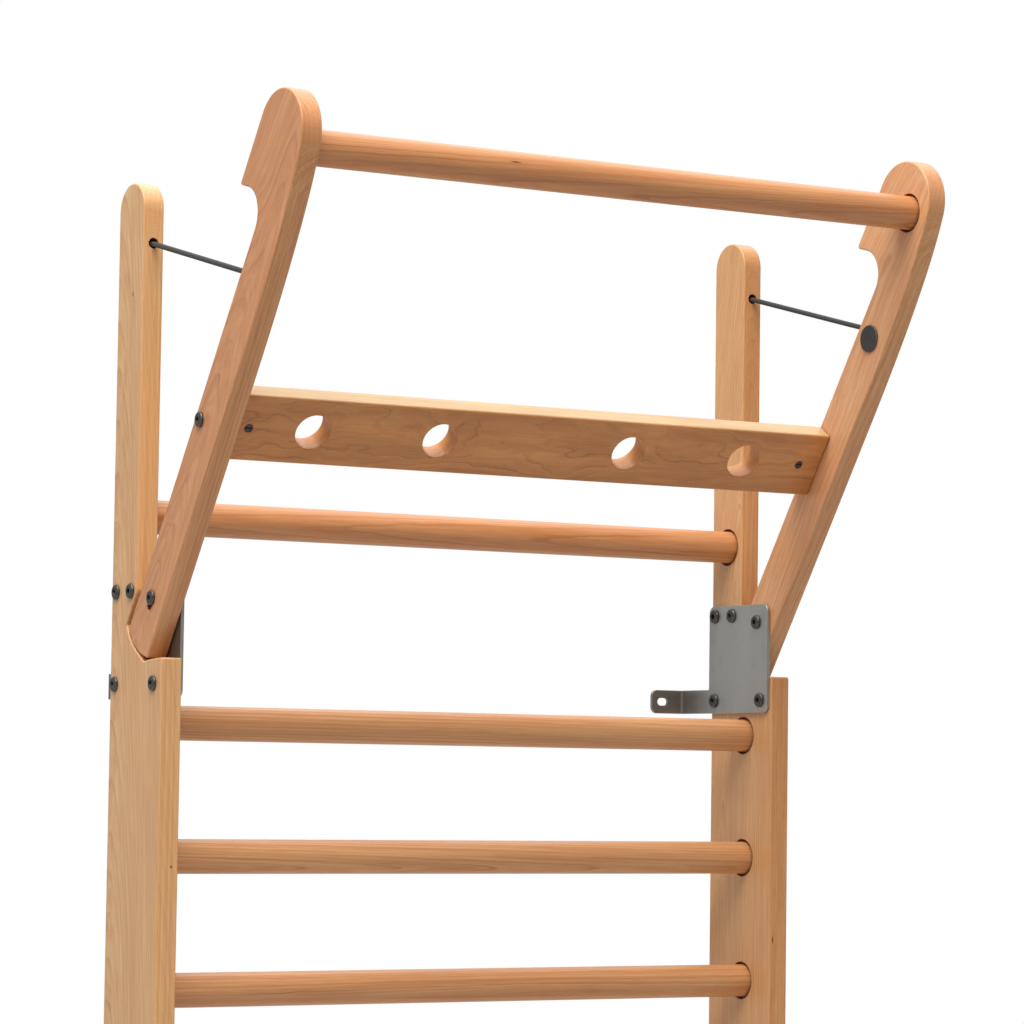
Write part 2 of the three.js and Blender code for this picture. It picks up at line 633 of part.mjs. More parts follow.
// Assembly
const bars = new THREE.Group();
const wallFrame = new THREE.Group();
wallFrame.position.y = -WALL_GAP;
const swingFrame = new THREE.Group();
swingFrame.position.set(0, -WALL_GAP - PIVOT_DEPTH, PIVOT_HEIGHT);
swingFrame.rotation.x = LEAN;
bars.add(wallFrame, swingFrame);

function place(group, name, geometry, material) {
  const mesh = new THREE.Mesh(geometry, material);
  mesh.name = name;
  group.add(mesh);
  return mesh;
}

// Both sides share one geometry: the left one is its mirror image
function placePair(group, name, geometry, material) {
  place(group, `right_${name}`, geometry, material());
  place(group, `left_${name}`, geometry, material()).scale.x = -1;
}

placePair(wallFrame, "upright", makeUpright(), uprightWood);
rungPlaces().forEach((spot, i) => {
  place(wallFrame, `rung_${String(i + 1).padStart(2, "0")}`, makeRung(spot), rungWood());
});
placePair(bars, "upper_bracket", makeUpperBracket(), brushedSteel);
placePair(bars, "lower_bracket", makeLowerBracket(), brushedSteel);
for (const { place: spot, depth, rise } of BRACKET_BOLTS) {
  const height = PIVOT_HEIGHT + rise;
  const bolt = makeBolt(BOLT_FACE_X, BOLT_TIP_X, depth, height);
  const nut = makeSleeveNut(NUT_FACE_X, SLEEVE_TIP_X, depth, height);
  placePair(wallFrame, `bracket_bolt_${spot}`, bolt, blackSteel);
  placePair(wallFrame, `bracket_nut_${spot}`, nut, blackSteel);
}
LOWER_SCREW_DEPTHS.forEach((depth, i) => {
  placePair(wallFrame, `lower_screw_${i + 1}`, makeLowerScrew(depth), blackSteel);
});
const uprightStop = makeStop(
  UPRIGHT_STOP_DIAMETER, COUNTERBORE_DEPTH - STOP_LENGTH - FIT_GAP, MIDDLE_X, CORD_HEIGHT);
placePair(wallFrame, "upright_cord_stop", uprightStop, blackSteel);
placePair(bars, "stay_cord", makeCord(), cordFibre);

placePair(swingFrame, "arm", makeArm(), armWood);
place(swingFrame, "pullup_bar", makePullUpBar(), rungWood());
place(swingFrame, "adapter_board", makeBoard(), boardWood());
placePair(swingFrame, "pivot_bolt", makeBolt(BOLT_FACE_X, BOLT_TIP_X, 0, 0), blackSteel);
placePair(swingFrame, "pivot_nut", makeSleeveNut(NUT_FACE_X, SLEEVE_TIP_X, 0, 0), blackSteel);
const boardBolt = makeBolt(
  BOLT_FACE_X, BARREL_NUT_OFFSET - BOARD_BOLT_PAST_NUT, BOARD_MIDDLE_FORWARD, BOARD_MIDDLE_ALONG);
placePair(swingFrame, "board_bolt", boardBolt, blackSteel);
placePair(swingFrame, "barrel_nut", makeBarrelNut(), blackSteel);
placePair(swingFrame, "cord_cap", makeCap(), darkPlastic);
const armStop = makeStop(ARM_STOP_DIAMETER, CAP_FORWARD - STOP_LENGTH, MIDDLE_X, CORD_ALONG);
placePair(swingFrame, "arm_cord_stop", armStop, blackSteel);

export default bars;
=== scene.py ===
"""Looks of the wall bars with their swing-out pull-up frame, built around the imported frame."""

import json
import logging
import math
import random
from dataclasses import dataclass
from enum import Enum
from typing import Callable, Iterable, Optional, Sequence, Union

import bmesh
import bpy
import numpy as np
from mathutils import Matrix, Vector

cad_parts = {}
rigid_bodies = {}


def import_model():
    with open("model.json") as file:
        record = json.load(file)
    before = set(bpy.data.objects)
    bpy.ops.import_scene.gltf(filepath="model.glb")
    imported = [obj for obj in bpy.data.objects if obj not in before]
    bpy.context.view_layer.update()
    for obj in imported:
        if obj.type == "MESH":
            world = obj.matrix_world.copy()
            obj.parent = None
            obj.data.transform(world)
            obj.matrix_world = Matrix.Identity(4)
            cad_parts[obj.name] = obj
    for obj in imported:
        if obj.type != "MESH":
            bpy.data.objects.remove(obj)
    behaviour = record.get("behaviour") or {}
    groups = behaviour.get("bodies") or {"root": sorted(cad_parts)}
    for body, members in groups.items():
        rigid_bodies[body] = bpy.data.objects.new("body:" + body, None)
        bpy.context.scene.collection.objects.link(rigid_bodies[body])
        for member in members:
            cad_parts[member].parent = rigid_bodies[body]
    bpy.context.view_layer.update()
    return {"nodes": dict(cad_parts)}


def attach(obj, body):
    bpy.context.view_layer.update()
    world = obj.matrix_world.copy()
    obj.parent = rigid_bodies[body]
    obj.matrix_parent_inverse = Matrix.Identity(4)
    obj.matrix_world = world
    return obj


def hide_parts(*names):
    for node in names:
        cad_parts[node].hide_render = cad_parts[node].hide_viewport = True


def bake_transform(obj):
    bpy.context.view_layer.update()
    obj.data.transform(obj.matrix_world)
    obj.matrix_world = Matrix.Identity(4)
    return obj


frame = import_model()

LOG = logging.getLogger("wall_bars")
MM = 0.001
# Metres within which two points of a new mesh are one.
WELD = 1e-7
# Millimetres by which a cutting tool stands out of the piece it cuts.
CLEAR = 1.0
TOOL_FACETS = 64

Point2 = tuple[float, float]
Triple = tuple[float, float, float]
Colour = tuple[float, float, float]
Stops = tuple[Point2, ...]
Point2Rows = tuple[np.ndarray, np.ndarray]
Bores = list[tuple[np.ndarray, float, float]]
Piece = bpy.types.Object
Socket = bpy.types.NodeSocket
Value = Union[float, Socket]


class Side(Enum):
    """The two sides of the bars, as the sign of their x."""

    LEFT = -1
    RIGHT = 1

    @property
    def word(self) -> str:
        """The side's word in the node names."""
        return self.name.lower()


class Body(Enum):
    """The bodies of the frame that pieces ride on."""

    WALL = "wall_frame"
    PIVOT = "pivot_bolts"
    SWING = "pullup_frame"


class Slot(Enum):
    """The record's material slots."""

    UPRIGHT = "upright_wood"
    RUNG = "rung_wood"
    ARM = "arm_wood"
    BOARD = "board_wood"
    BRACKET = "bracket_steel"
    FITTING = "black_steel"
    PLASTIC = "dark_plastic"
    CORD = "cord_fibre"


@dataclass(frozen=True)
class Frame:
    """Sizes that several pieces share, in millimetres, as in the part's source."""

    outer_x: float = 420.0
    timber: float = 25.0
    wall_gap: float = 62.0
    lower_depth: float = 128.0
    upper_depth: float = 62.0
    rung_diameter: float = 38.5
    rung_pitch: float = 147.5
    rung_count: int = 10
    rung_depth: float = 68.0
    lowest_rung: float = 230.0
    top_rung_depth: float = 31.0
    top_rung_height: float = 1640.0
    pivot_depth: float = 100.0
    pivot_height: float = 1546.5
    lean: float = math.radians(34.3)
    upright_top: float = 2014.0
    cord_height: float = 1944.0
    cord_along: float = 391.0
    socket_depth: float = 18.0
    socket_mouth: float = 44.5
    socket_mouth_depth: float = 5.0
    socket_ease: float = 0.6
    cord_ease: float = 0.8
    cord_proud: float = 0.2
    # Tone of the painted shade inside sockets, slots and holes, and at the board's ends.
    bore_tone: float = -4.1
    bore_spread: float = 0.3
    edge: float = 2.0
    fit: float = 0.2
    plate: float = 4.0
    arm_rear: float = -28.5
    arm_front: float = 29.0
    board_low: float = 176.5
    board_high: float = 258.0

    @property
    def inner_x(self) -> float:
        """The inner face of an upright."""
        return self.outer_x - self.timber

    @property
    def middle_x(self) -> float:
        """The middle of a timber's thickness."""
        return self.outer_x - self.timber / 2

    @property
    def plate_inner_x(self) -> float:
        """The inner face of a bracket plate."""
        return self.inner_x - self.fit - self.plate

    @property
    def board_front(self) -> float:
        """The board's front face, forward of the arm's centre line."""
        return self.arm_rear + self.timber

    @property
    def board_middle(self) -> Point2:
        """The board's middle as (forward, along)."""
        return self.arm_rear + self.timber / 2, (self.board_low + self.board_high) / 2

    def swung_out(self, forward: float, along: float) -> Point2:
        """Where a point of the arm lies beside the wall frame.

        Args:
            forward: Millimetres in front of the arm's centre line.
            along: Millimetres from the pivot along the arm.

        Returns:
            The depth from the uprights' rear face and the height.
        """
        sine, cosine = math.sin(self.lean), math.cos(self.lean)
        return (
            self.pivot_depth + along * sine + forward * cosine,
            self.pivot_height + along * cosine - forward * sine,
        )

    def wall_place(self, x: float, depth: float, height: float) -> Vector:
        """A point of the wall frame in metres."""
        return Vector((x, -self.wall_gap - depth, height)) * MM

    def arm_place(self, x: float, forward: float, along: float) -> Vector:
        """A point of the pull-up frame in metres."""
        depth, height = self.swung_out(forward, along)
        return self.wall_place(x, depth, height)

    def in_arm(self, made: Piece) -> Point2Rows:
        """How far each vertex of a piece lies in front of the arm's centre line and along it, in millimetres."""
        p = (vertices(made) - np.array(self.arm_place(0, 0, 0))) / MM
        sine, cosine = math.sin(self.lean), math.cos(self.lean)
        return p @ np.array([0.0, -cosine, -sine]), p @ np.array([0.0, -sine, cosine])

    def rung_places(self) -> list[Point2]:
        """Depth and height of each rung, from the top one down."""
        places = [(self.top_rung_depth, self.top_rung_height)]
        for i in range(self.rung_count - 2, -1, -1):
            places.append((self.rung_depth, self.lowest_rung + i * self.rung_pitch))
        return places


F = Frame()
Place = Callable[[float, float, float], Vector]


class Outline:
    """A closed side outline made of lines, arcs and a curve, as points in millimetres."""

    CLOSEST = 0.02

    def __init__(self, step: float = math.radians(4)) -> None:
        """Starts an empty outline.

        Args:
            step: The turn between two points of an arc.
        """
        self.step = step
        self.points: list[Point2] = []

    def line(self, *points: Point2) -> "Outline":
        """Adds corners that straight lines join."""
        self.points.extend(points)
        return self

    def arc(self, centre: Point2, radius: float, start: float, end: float) -> "Outline":
        """Adds an arc.

        Args:
            centre: The arc's centre.
            radius: Its radius.
            start: The angle it starts at.
            end: The angle it ends at, below start for a clockwise arc.

        Returns:
            The outline itself.
        """
        count = max(2, math.ceil(abs(end - start) / self.step))
        for i in range(count + 1):
            a = start + (end - start) * i / count
            self.points.append((centre[0] + radius * math.cos(a), centre[1] + radius * math.sin(a)))
        return self

    def fillet(self, corner: Point2, ahead: Point2, radius: float) -> "Outline":
        """Rounds a corner with an arc that touches the line to it and the line after it.

        Args:
            corner: The sharp corner.
            ahead: A point on the line after it.
            radius: The arc's radius.

        Returns:
            The outline itself.
        """
        at = Vector(corner)
        back = (Vector(self.points[-1]) - at).normalized()
        on = (Vector(ahead) - at).normalized()
        half = back.angle(on) / 2
        reach = radius / math.tan(half)
        start, end = at + back * reach, at + on * reach
        centre = at + (back + on).normalized() * (radius / math.sin(half))
        a = math.atan2(*(start - centre).yx)
        turn = math.atan2(*(end - centre).yx) - a
        turn = (turn + math.pi) % (2 * math.pi) - math.pi
        return self.arc(tuple(centre), radius, a, a + turn)

    def bezier(self, *controls: Point2, count: int = 28) -> "Outline":
        """Adds a cubic curve from the last point over two controls to the third."""
        p = [Vector(self.points[-1])] + [Vector(c) for c in controls]
        for i in range(1, count + 1):
            t = i / count
            s = 1 - t
            q = p[0] * s ** 3 + p[1] * (3 * t * s ** 2) + p[2] * (3 * t * t * s) + p[3] * t ** 3
            self.points.append(tuple(q))
        return self

    def ring(self) -> np.ndarray:
        """The outline's points, anticlockwise and without doubles."""
        points = np.array(self.points)
        keep = np.linalg.norm(points - np.roll(points, 1, axis=0), axis=1) > self.CLOSEST
        points = points[keep]
        x, y = points.T
        area = (x * np.roll(y, -1) - np.roll(x, -1) * y).sum()
        return points if area > 0 else points[::-1]


def inset(ring: np.ndarray, distance: float, blunt: float = 0.2) -> np.ndarray:
    """Moves an anticlockwise outline inwards.

    Args:
        ring: The outline's points.
        distance: How far each side moves.
        blunt: The least divisor at a corner, which keeps the point of a very sharp one near.

    Returns:
        The moved points, one for each given.
    """
    ahead = np.roll(ring, -1, axis=0) - ring
    ahead /= np.linalg.norm(ahead, axis=1)[:, None]
    normal = np.stack([-ahead[:, 1], ahead[:, 0]], axis=1)
    before = np.roll(normal, 1, axis=0)
    scale = 1 + (normal * before).sum(1)
    return ring + distance * (normal + before) / np.maximum(scale, blunt)[:, None]


class Solid:
    """A mesh in the making: side coordinates in millimetres until it is placed in metres."""

    def __init__(self) -> None:
        """Starts an empty solid."""
        self.mesh = bmesh.new()

    def loft(self, rings: Sequence[Sequence[Sequence[float]]]) -> "Solid":
        """Joins rings of equal count with faces and closes both ends.

        Args:
            rings: Each ring's points as (x, forward, up).

        Returns:
            The solid itself.
        """
        rows = [[self.mesh.verts.new(p) for p in ring] for ring in rings]
        for low, high in zip(rows, rows[1:]):
            for i in range(len(low)):
                j = (i + 1) % len(low)
                self.mesh.faces.new((low[i], low[j], high[j], high[i]))
        self.mesh.faces.new(rows[0][::-1])
        self.mesh.faces.new(rows[-1])
        return self

    def slab(self, ring: np.ndarray, x_low: float, x_high: float, edge: float, rounds: int = 4) -> "Solid":
        """A timber or sheet cut to a side outline, with rounded edges.

        Args:
            ring: The anticlockwise side outline.
            x_low: Its lower face.
            x_high: Its upper face.
            edge: The radius of its edges.
            rounds: The faces round each edge.

        Returns:
            The solid itself.
        """
        low, high = [], []
        for i in range(rounds + 1):
            a = math.pi / 2 * i / rounds
            moved = inset(ring, edge * (1 - math.sin(a)))
            sink = edge * (1 - math.cos(a))
            low.append([(x_low + sink, *p) for p in moved])
            high.append([(x_high - sink, *p) for p in moved])
        return self.loft(low + high[::-1])

    def turned(self, profile: Sequence[Point2], at: Point2, count: int, along_forward: bool = False) -> "Solid":
        """A turned form about an axis that lies across the bars or forward.

        Args:
            profile: (radius, place on the axis) from one end to the other.
            at: The axis's other two coordinates, (forward, up) or (x, up).
            count: Facets round the axis.
            along_forward: Whether the axis lies forward and not across.

        Returns:
            The solid itself.
        """
        def spot(radius: float, place: float, angle: float) -> Triple:
            """A point of the form."""
            u, v = at[0] + radius * math.cos(angle), at[1] + radius * math.sin(angle)
            return (u, place, v) if along_forward else (place, u, v)

        return self.loft([[spot(r, p, 2 * math.pi * i / count) for i in range(count)] for r, p in profile])

    def placed(self, name: str, place: Place, side: Side) -> Piece:
        """Puts the solid in its place in the object's frame.

        Args:
            name: The new object's name.
            place: Turns its coordinates into metres.
            side: Which side it belongs to; the left is the mirror image of the right.

        Returns:
            The object, at the origin, with its normals outwards.
        """
        for v in self.mesh.verts:
            x, forward, up = v.co
            v.co = place(x * side.value, forward, up)
        bmesh.ops.remove_doubles(self.mesh, verts=self.mesh.verts, dist=WELD)
        bmesh.ops.recalc_face_normals(self.mesh, faces=self.mesh.faces)
        return new_object(name, self.mesh)


def new_object(name: str, mesh: bmesh.types.BMesh) -> Piece:
    """A linked object of a finished mesh, which is freed."""
    data = bpy.data.meshes.new(name)
    mesh.to_mesh(data)
    mesh.free()
    made = bpy.data.objects.new(name, data)
    bpy.context.scene.collection.objects.link(made)
    return made


def settle(made: Piece) -> None:
    """Applies an object's modifiers by swapping in its evaluated mesh."""
    graph = bpy.context.evaluated_depsgraph_get()
    plain = bpy.data.meshes.new_from_object(
        made.evaluated_get(graph), preserve_all_data_layers=True, depsgraph=graph)
    made.modifiers.clear()
    old, made.data = made.data, plain
    plain.name = made.name
    bpy.data.meshes.remove(old)


def carve(made: Piece, tools: Iterable[Piece], merge: float = 0.005) -> None:
    """Cuts tools out of an object, removes them and merges points that the cut left on top of each other.

    Args:
        made: The object to cut.
        tools: Closed objects in the same frame.
        merge: Millimetres within which points become one.
    """
    group = bpy.data.collections.new("tools")
    for tool in tools:
        group.objects.link(tool)
    step = made.modifiers.new("cut", "BOOLEAN")
    step.operation, step.solver = "DIFFERENCE", "EXACT"
    step.operand_type, step.collection = "COLLECTION", group
    settle(made)
    mesh = bmesh.new()
    mesh.from_mesh(made.data)
    bmesh.ops.remove_doubles(mesh, verts=mesh.verts, dist=merge * MM)
    mesh.to_mesh(made.data)
    mesh.free()
    for tool in list(group.objects):
        bpy.data.meshes.remove(tool.data)
    bpy.data.collections.remove(group)


def soften(made: Piece, angle: float = 34.0) -> None:
    """Shades an object smooth with sharp edges above an angle, flat faces kept flat.

    Args:
        made: The object.
        angle: Degrees between faces from which an edge is sharp.
    """
    data = made.data
    data.shade_smooth()
    data.set_sharp_from_angle(angle=math.radians(angle))
    step = made.modifiers.new("even", "WEIGHTED_NORMAL")
    step.keep_sharp = True
    settle(made)


def write_attribute(made: Piece, name: str, values: np.ndarray) -> None:
    """Stores a number or a vector for each vertex under a name that materials and trees read.

    Args:
        made: The object.
        name: The attribute's name.
        values: The values, one row for each vertex.
    """
    kind, key = ("FLOAT", "value") if values.ndim == 1 else ("FLOAT_VECTOR", "vector")
    layer = made.data.attributes.get(name) or made.data.attributes.new(name, kind, "POINT")
    layer.data.foreach_set(key, values.astype(np.float32).ravel())


def vertices(made: Piece) -> np.ndarray:
    """The object's vertices in metres."""
    found = np.zeros(len(made.data.vertices) * 3, np.float32)
    made.data.vertices.foreach_get("co", found)
    return found.reshape(-1, 3).astype(float)


@dataclass(frozen=True)
class Log:
    """How a timber was sawn from its log: the way the grain runs and where the pith lay, in metres.

    The tone makes the whole timber lighter or darker, the rim its narrow faces on top of that. The tilt
    slants the saw to the pith.
    """

    along: Triple
    face: Triple
    pith: float
    aside: float
    start: float
    tone: float = 0.0
    tilt: float = 0.0
    rim: float = 0.0

    def mark(self, made: Piece, origin: Vector, chosen: Optional[np.ndarray] = None) -> np.ndarray:
        """Grain coordinates of an object's vertices: across, across and along the log.

        Args:
            made: The object.
            origin: A point on the timber's middle line.
            chosen: Which vertices are wanted, or all.

        Returns:
            One row for each vertex.
        """
        z = np.array(Vector(self.along).normalized())
        x = np.array(Vector(self.face).normalized())
        y = np.cross(z, x)
        p = vertices(made) - np.array(origin)
        if chosen is not None:
            p = p[chosen]
        a, b, c = p @ x, p @ y, p @ z
        slant = self.tilt * c / math.hypot(self.pith, self.aside)
        return np.stack([a + self.pith * (1 + slant), b + self.aside * (1 + slant), c + self.start], axis=1)


@dataclass(frozen=True)
class Cloud:
    """Cloud noise: waves to a metre in each direction, octaves, and how strong the finer octaves are."""

    scale: Triple
    detail: float = 2.0
    rough: float = 0.5


class Nodes:
    """A short way to write a material's nodes."""

    def __init__(self, name: str) -> None:
        """Starts a material with an empty tree.

        Args:
            name: The material's name.
        """
        self.material = bpy.data.materials.new(name)
        self.material.use_nodes = True
        self.tree = self.material.node_tree
        self.tree.nodes.clear()

    def add(self, kind: str, **settings: object) -> bpy.types.Node:
        """A new node with its settings."""
        node = self.tree.nodes.new("ShaderNode" + kind)
        for key, value in settings.items():
            setattr(node, key, value)
        return node

    def put(self, socket: Socket, value: object) -> None:
        """Links a socket's source or sets its value."""
        if isinstance(value, Socket):
            self.tree.links.new(value, socket)
        elif isinstance(value, tuple) and socket.type == "RGBA":
            socket.default_value = (*value, 1.0)[:4]
        else:
            socket.default_value = value

    def math(self, operation: str, a: Value, b: Value = 0.0) -> Socket:
        """The result of an operation on two numbers."""
        node = self.add("Math", operation=operation)
        self.put(node.inputs[0], a)
        self.put(node.inputs[1], b)
        return node.outputs[0]

    def vector(self, operation: str, a: object, b: object = (0.0, 0.0, 0.0)) -> Socket:
        """The result of an operation on two vectors, a number if it is a length."""
        node = self.add("VectorMath", operation=operation)
        self.put(node.inputs[0], a)
        self.put(node.inputs[1], b)
        return node.outputs["Value"] if operation == "LENGTH" else node.outputs[0]

    def attribute(self, name: str, output: str) -> Socket:
        """A piece's own attribute."""
        return self.add("Attribute", attribute_name=name).outputs[output]

    def place(self) -> Socket:
        """The surface's place in the object's frame."""
        return self.add("TexCoord").outputs["Object"]

    def noise(self, at: Socket, cloud: Cloud, output: str = "Fac") -> Socket:
        """Cloud noise, stretched by a scale for each direction.

        Args:
            at: The coordinates in metres.
            cloud: The kind of noise.
            output: Fac or Color.

        Returns:
            The noise.
        """
        node = self.add("TexNoise")
        self.put(node.inputs["Vector"], self.vector("MULTIPLY", at, cloud.scale))
        node.inputs["Scale"].default_value = 1.0
        node.inputs["Detail"].default_value = cloud.detail
        node.inputs["Roughness"].default_value = cloud.rough
        return node.outputs[output]

    def curve(self, value: Value, stops: Sequence[Point2]) -> Socket:
        """A number led over a grey ramp of (place, grey) stops."""
        node = self.add("ValToRGB")
        ramp = node.color_ramp
        while len(ramp.elements) < len(stops):
            ramp.elements.new(0.5)
        for element, (place, grey) in zip(ramp.elements, stops):
            element.position = place
            element.color = (grey, grey, grey, 1.0)
        self.put(node.inputs[0], value)
        return node.outputs[0]

    def mix(self, share: Value, a: object, b: object) -> Socket:
        """Two colours mixed by a share."""
        node = self.add("Mix", data_type="RGBA")
        self.put(node.inputs["Factor"], share)
        for name, colour in (("A", a), ("B", b)):
            self.put(next(s for s in node.inputs if s.name == name and s.type == "RGBA"), colour)
        return [s for s in node.outputs if s.type == "RGBA"][0]

    def bump(self, height: Value, strength: float, distance: float) -> Socket:
        """A surface normal from a height."""
        node = self.add("Bump")
        node.inputs["Strength"].default_value = strength
        node.inputs["Distance"].default_value = distance
        self.put(node.inputs["Height"], height)
        return node.outputs[0]

    def finish(self, **sockets: object) -> bpy.types.Material:
        """Ends the tree in a Principled shader with these sockets, underscores for spaces."""
        shader = self.add("BsdfPrincipled")
        for key, value in sockets.items():
            self.put(shader.inputs[key.replace("_", " ")], value)
        out = self.add("OutputMaterial")
        self.tree.links.new(shader.outputs[0], out.inputs[0])
        return self.material


@dataclass(frozen=True)
class Knot:
    """A small dark mark in the wood: its place in metres, and its half sizes."""

    place: Triple
    half: Triple


@dataclass(frozen=True)
class WoodFinish:
    """Oiled fruitwood: growth rings from the timber's own log, fibres, flecks and satin lacquer.

    Lengths are in metres. Stops lead a noise, a ring's age or a distance to a strength.
    """

    name: str
    pale: Colour
    warm: Colour
    late: Colour
    ring: float
    contrast: float
    taper: float
    warp: float
    fibre: float
    wave: Cloud = Cloud((9.0, 9.0, 1.7), 2.0, 0.45)
    ripple: float = 0.0012
    ripples: Cloud = Cloud((60.0, 60.0, 26.0))
    uneven: float = 0.8
    uneven_years: Cloud = Cloud((24.0, 24.0, 2.0), 1.0)
    year_line: Stops = ((0.0, 0.3), (0.06, 0.08), (0.5, 0.0), (0.86, 0.16), (0.96, 1.0), (1.0, 0.3))
    faintest_year: float = 0.3
    early_wood: float = 0.1
    patches: Cloud = Cloud((34.0, 34.0, 7.0))
    fade: Stops = ((0.3, 0.3), (0.6, 1.0))
    quarter_fade: float = 0.85
    fibres: Cloud = Cloud((1100.0, 1100.0, 22.0), 3.0, 0.6)
    streaks: Cloud = Cloud((520.0, 520.0, 2.4), 3.0, 0.6)
    streak_breadth: float = 0.2
    streak_share: float = 0.65
    thread_gain: float = 2.4
    stripe: float = 0.0
    fleck: float = 0.15
    flecks: Cloud = Cloud((700.0, 700.0, 70.0), 1.0, 0.4)
    fleck_stops: Stops = ((0.68, 0.0), (0.76, 1.0))
    mottle: Cloud = Cloud((16.0, 16.0, 1.6), 3.0, 0.55)
    mottle_stops: Stops = ((0.3, 0.0), (0.7, 1.0))
    tone_step: float = 0.22
    tint: Triple = (0.5, 1.0, 1.4)
    narrow: Colour = (1.02, 0.98, 0.91)
    # Painted highlight on rounded edges: how much lighter than the pale wood, how much of that, and how strongly the
    # edge mark applies it.
    worn_light: float = 1.25
    worn_mix: float = 0.5
    worn_share: float = 0.15
    knots: tuple[Knot, ...] = ()
    knot_colour: Colour = (0.05, 0.022, 0.01)
    knot_stops: Stops = ((0.2, 0.9), (0.5, 0.0))
    rough: float = 0.4
    rough_range: float = 0.16
    relief: Point2 = (0.7, 0.3)
    bump: Point2 = (0.16, 0.0004)
    lacquer: float = 0.08
    lacquer_rough: float = 0.4

    def rings(self, n: Nodes, grain: Socket) -> Socket:
        """The rings' count from the pith, bent and tapered as the tree grew.

        Args:
            n: The material's nodes.
            grain: Coordinates in the log.

        Returns:
            A number that grows by one with each ring.
        """
        half = (0.5, 0.5, 0.5)
        sway = n.vector("SUBTRACT", n.noise(grain, self.wave, "Color"), half)
        sway = n.vector("MULTIPLY", sway, (self.warp, self.warp, 0.0))
        shake = n.vector("SUBTRACT", n.noise(grain, self.ripples, "Color"), half)
        shake = n.vector("MULTIPLY", shake, (self.ripple, self.ripple, 0.0))
        bent = n.vector("MULTIPLY", n.vector("ADD", n.vector("ADD", grain, sway), shake), (1.0, 1.0, 0.0))
        split = n.add("SeparateXYZ")
        n.put(split.inputs[0], grain)
        radius = n.math("ADD", n.vector("LENGTH", bent), n.math("MULTIPLY", split.outputs["Z"], self.taper))
        uneven = n.math("MULTIPLY", n.noise(grain, self.uneven_years), self.uneven)
        return n.math("ADD", n.math("DIVIDE", radius, self.ring), uneven)

    def threads(self, n: Nodes, grain: Socket, rings: Socket,
                quarter: Socket) -> Socket:
        """Fine fibres along the log and broader streaks that follow the rings.

        Args:
            n: The material's nodes.
            grain: Coordinates in the log.
            rings: The rings' count.
            quarter: 1 where the face is cut across the rings.

        Returns:
            A number about one half.
        """
        split = n.add("SeparateXYZ")
        n.put(split.inputs[0], grain)
        layer = n.add("CombineXYZ")
        along_ring = n.math("MULTIPLY", rings, self.ring)
        straight = n.math("MULTIPLY", n.math("SUBTRACT", split.outputs["X"], along_ring), quarter)
        n.put(layer.inputs[0], n.math("ADD", along_ring, straight))
        n.put(layer.inputs[1], n.math("MULTIPLY", split.outputs["Y"], self.streak_breadth))
        n.put(layer.inputs[2], split.outputs["Z"])
        streak = n.math("MULTIPLY", n.noise(layer.outputs[0], self.streaks), self.streak_share)
        fibre = n.math("MULTIPLY", n.noise(grain, self.fibres), 1.0 - self.streak_share)
        return n.math("ADD", fibre, streak)

    def build(self) -> bpy.types.Material:
        """The finish as a material.

        Returns:
            The material, which reads the attributes grain, tone, quarter and the edge mark that paints a highlight
            along rounded edges.
        """
        n = Nodes(self.name)
        grain = n.attribute("grain", "Vector")
        quarter = n.attribute("quarter", "Fac")
        rings = self.rings(n, grain)
        phase = n.math("FRACT", rings)
        line = n.curve(phase, self.year_line)
        year = n.add("TexWhiteNoise", noise_dimensions="1D")
        n.put(year.inputs["W"], n.math("FLOOR", rings))
        strong = n.math("MULTIPLY", year.outputs["Value"], 1.0 - self.faintest_year)
        line = n.math("MULTIPLY", line, n.math("ADD", strong, self.faintest_year))
        line = n.math("MULTIPLY", line, n.curve(n.noise(grain, self.patches), self.fade))
        line = n.math("MULTIPLY", line, n.math("SUBTRACT", 1.0, n.math("MULTIPLY", quarter, self.quarter_fade)))
        threads = self.threads(n, grain, rings, quarter)
        dash = n.curve(n.noise(grain, self.flecks), self.fleck_stops)
        broad = n.curve(n.noise(grain, self.mottle), self.mottle_stops)

        colour = n.mix(broad, self.pale, self.warm)
        inner = n.math("MULTIPLY", n.math("SUBTRACT", phase, 0.5), self.early_wood)
        strength = n.math("ADD", n.math("MULTIPLY", quarter, self.thread_gain * self.stripe),
                          self.thread_gain * self.fibre)
        shade = n.math("SUBTRACT", n.math("MULTIPLY", n.math("SUBTRACT", threads, 0.5), strength), inner)
        colour = n.vector("MULTIPLY", colour, self.tinted(n, n.math("ADD", shade, 1.0)))
        colour = n.mix(n.math("MULTIPLY", line, self.contrast), colour, self.late)
        colour = n.mix(n.math("MULTIPLY", dash, self.fleck), colour, self.late)
        depth = n.math("ADD", n.math("MULTIPLY", n.attribute("tone", "Fac"), self.tone_step), 1.0)
        colour = n.vector("MULTIPLY", colour, self.tinted(n, depth))
        colour = n.vector("MULTIPLY", colour, n.mix(quarter, (1.0, 1.0, 1.0), self.narrow))
        # Painted highlight along the rounded edges, where the edge mark is set.
        lit = n.mix(self.worn_mix, colour, tuple(min(1.0, self.worn_light * c) for c in self.pale))
        colour = n.mix(n.math("MULTIPLY", n.attribute("wear", "Fac"), self.worn_share), colour, lit)
        for knot in self.knots:
            away = n.vector("DIVIDE", n.vector("SUBTRACT", n.place(), knot.place), knot.half)
            spot = n.curve(n.math("MULTIPLY", n.vector("LENGTH", away), 0.5), self.knot_stops)
            colour = n.mix(spot, colour, self.knot_colour)
        rough = n.math("ADD", n.math("MULTIPLY", threads, self.rough_range), self.rough - self.rough_range / 2)
        height = n.math("ADD", n.math("MULTIPLY", threads, self.relief[0]), n.math("MULTIPLY", line, self.relief[1]))
        return n.finish(Base_Color=colour, Roughness=rough, Normal=n.bump(height, *self.bump),
                        Coat_Weight=self.lacquer, Coat_Roughness=self.lacquer_rough)

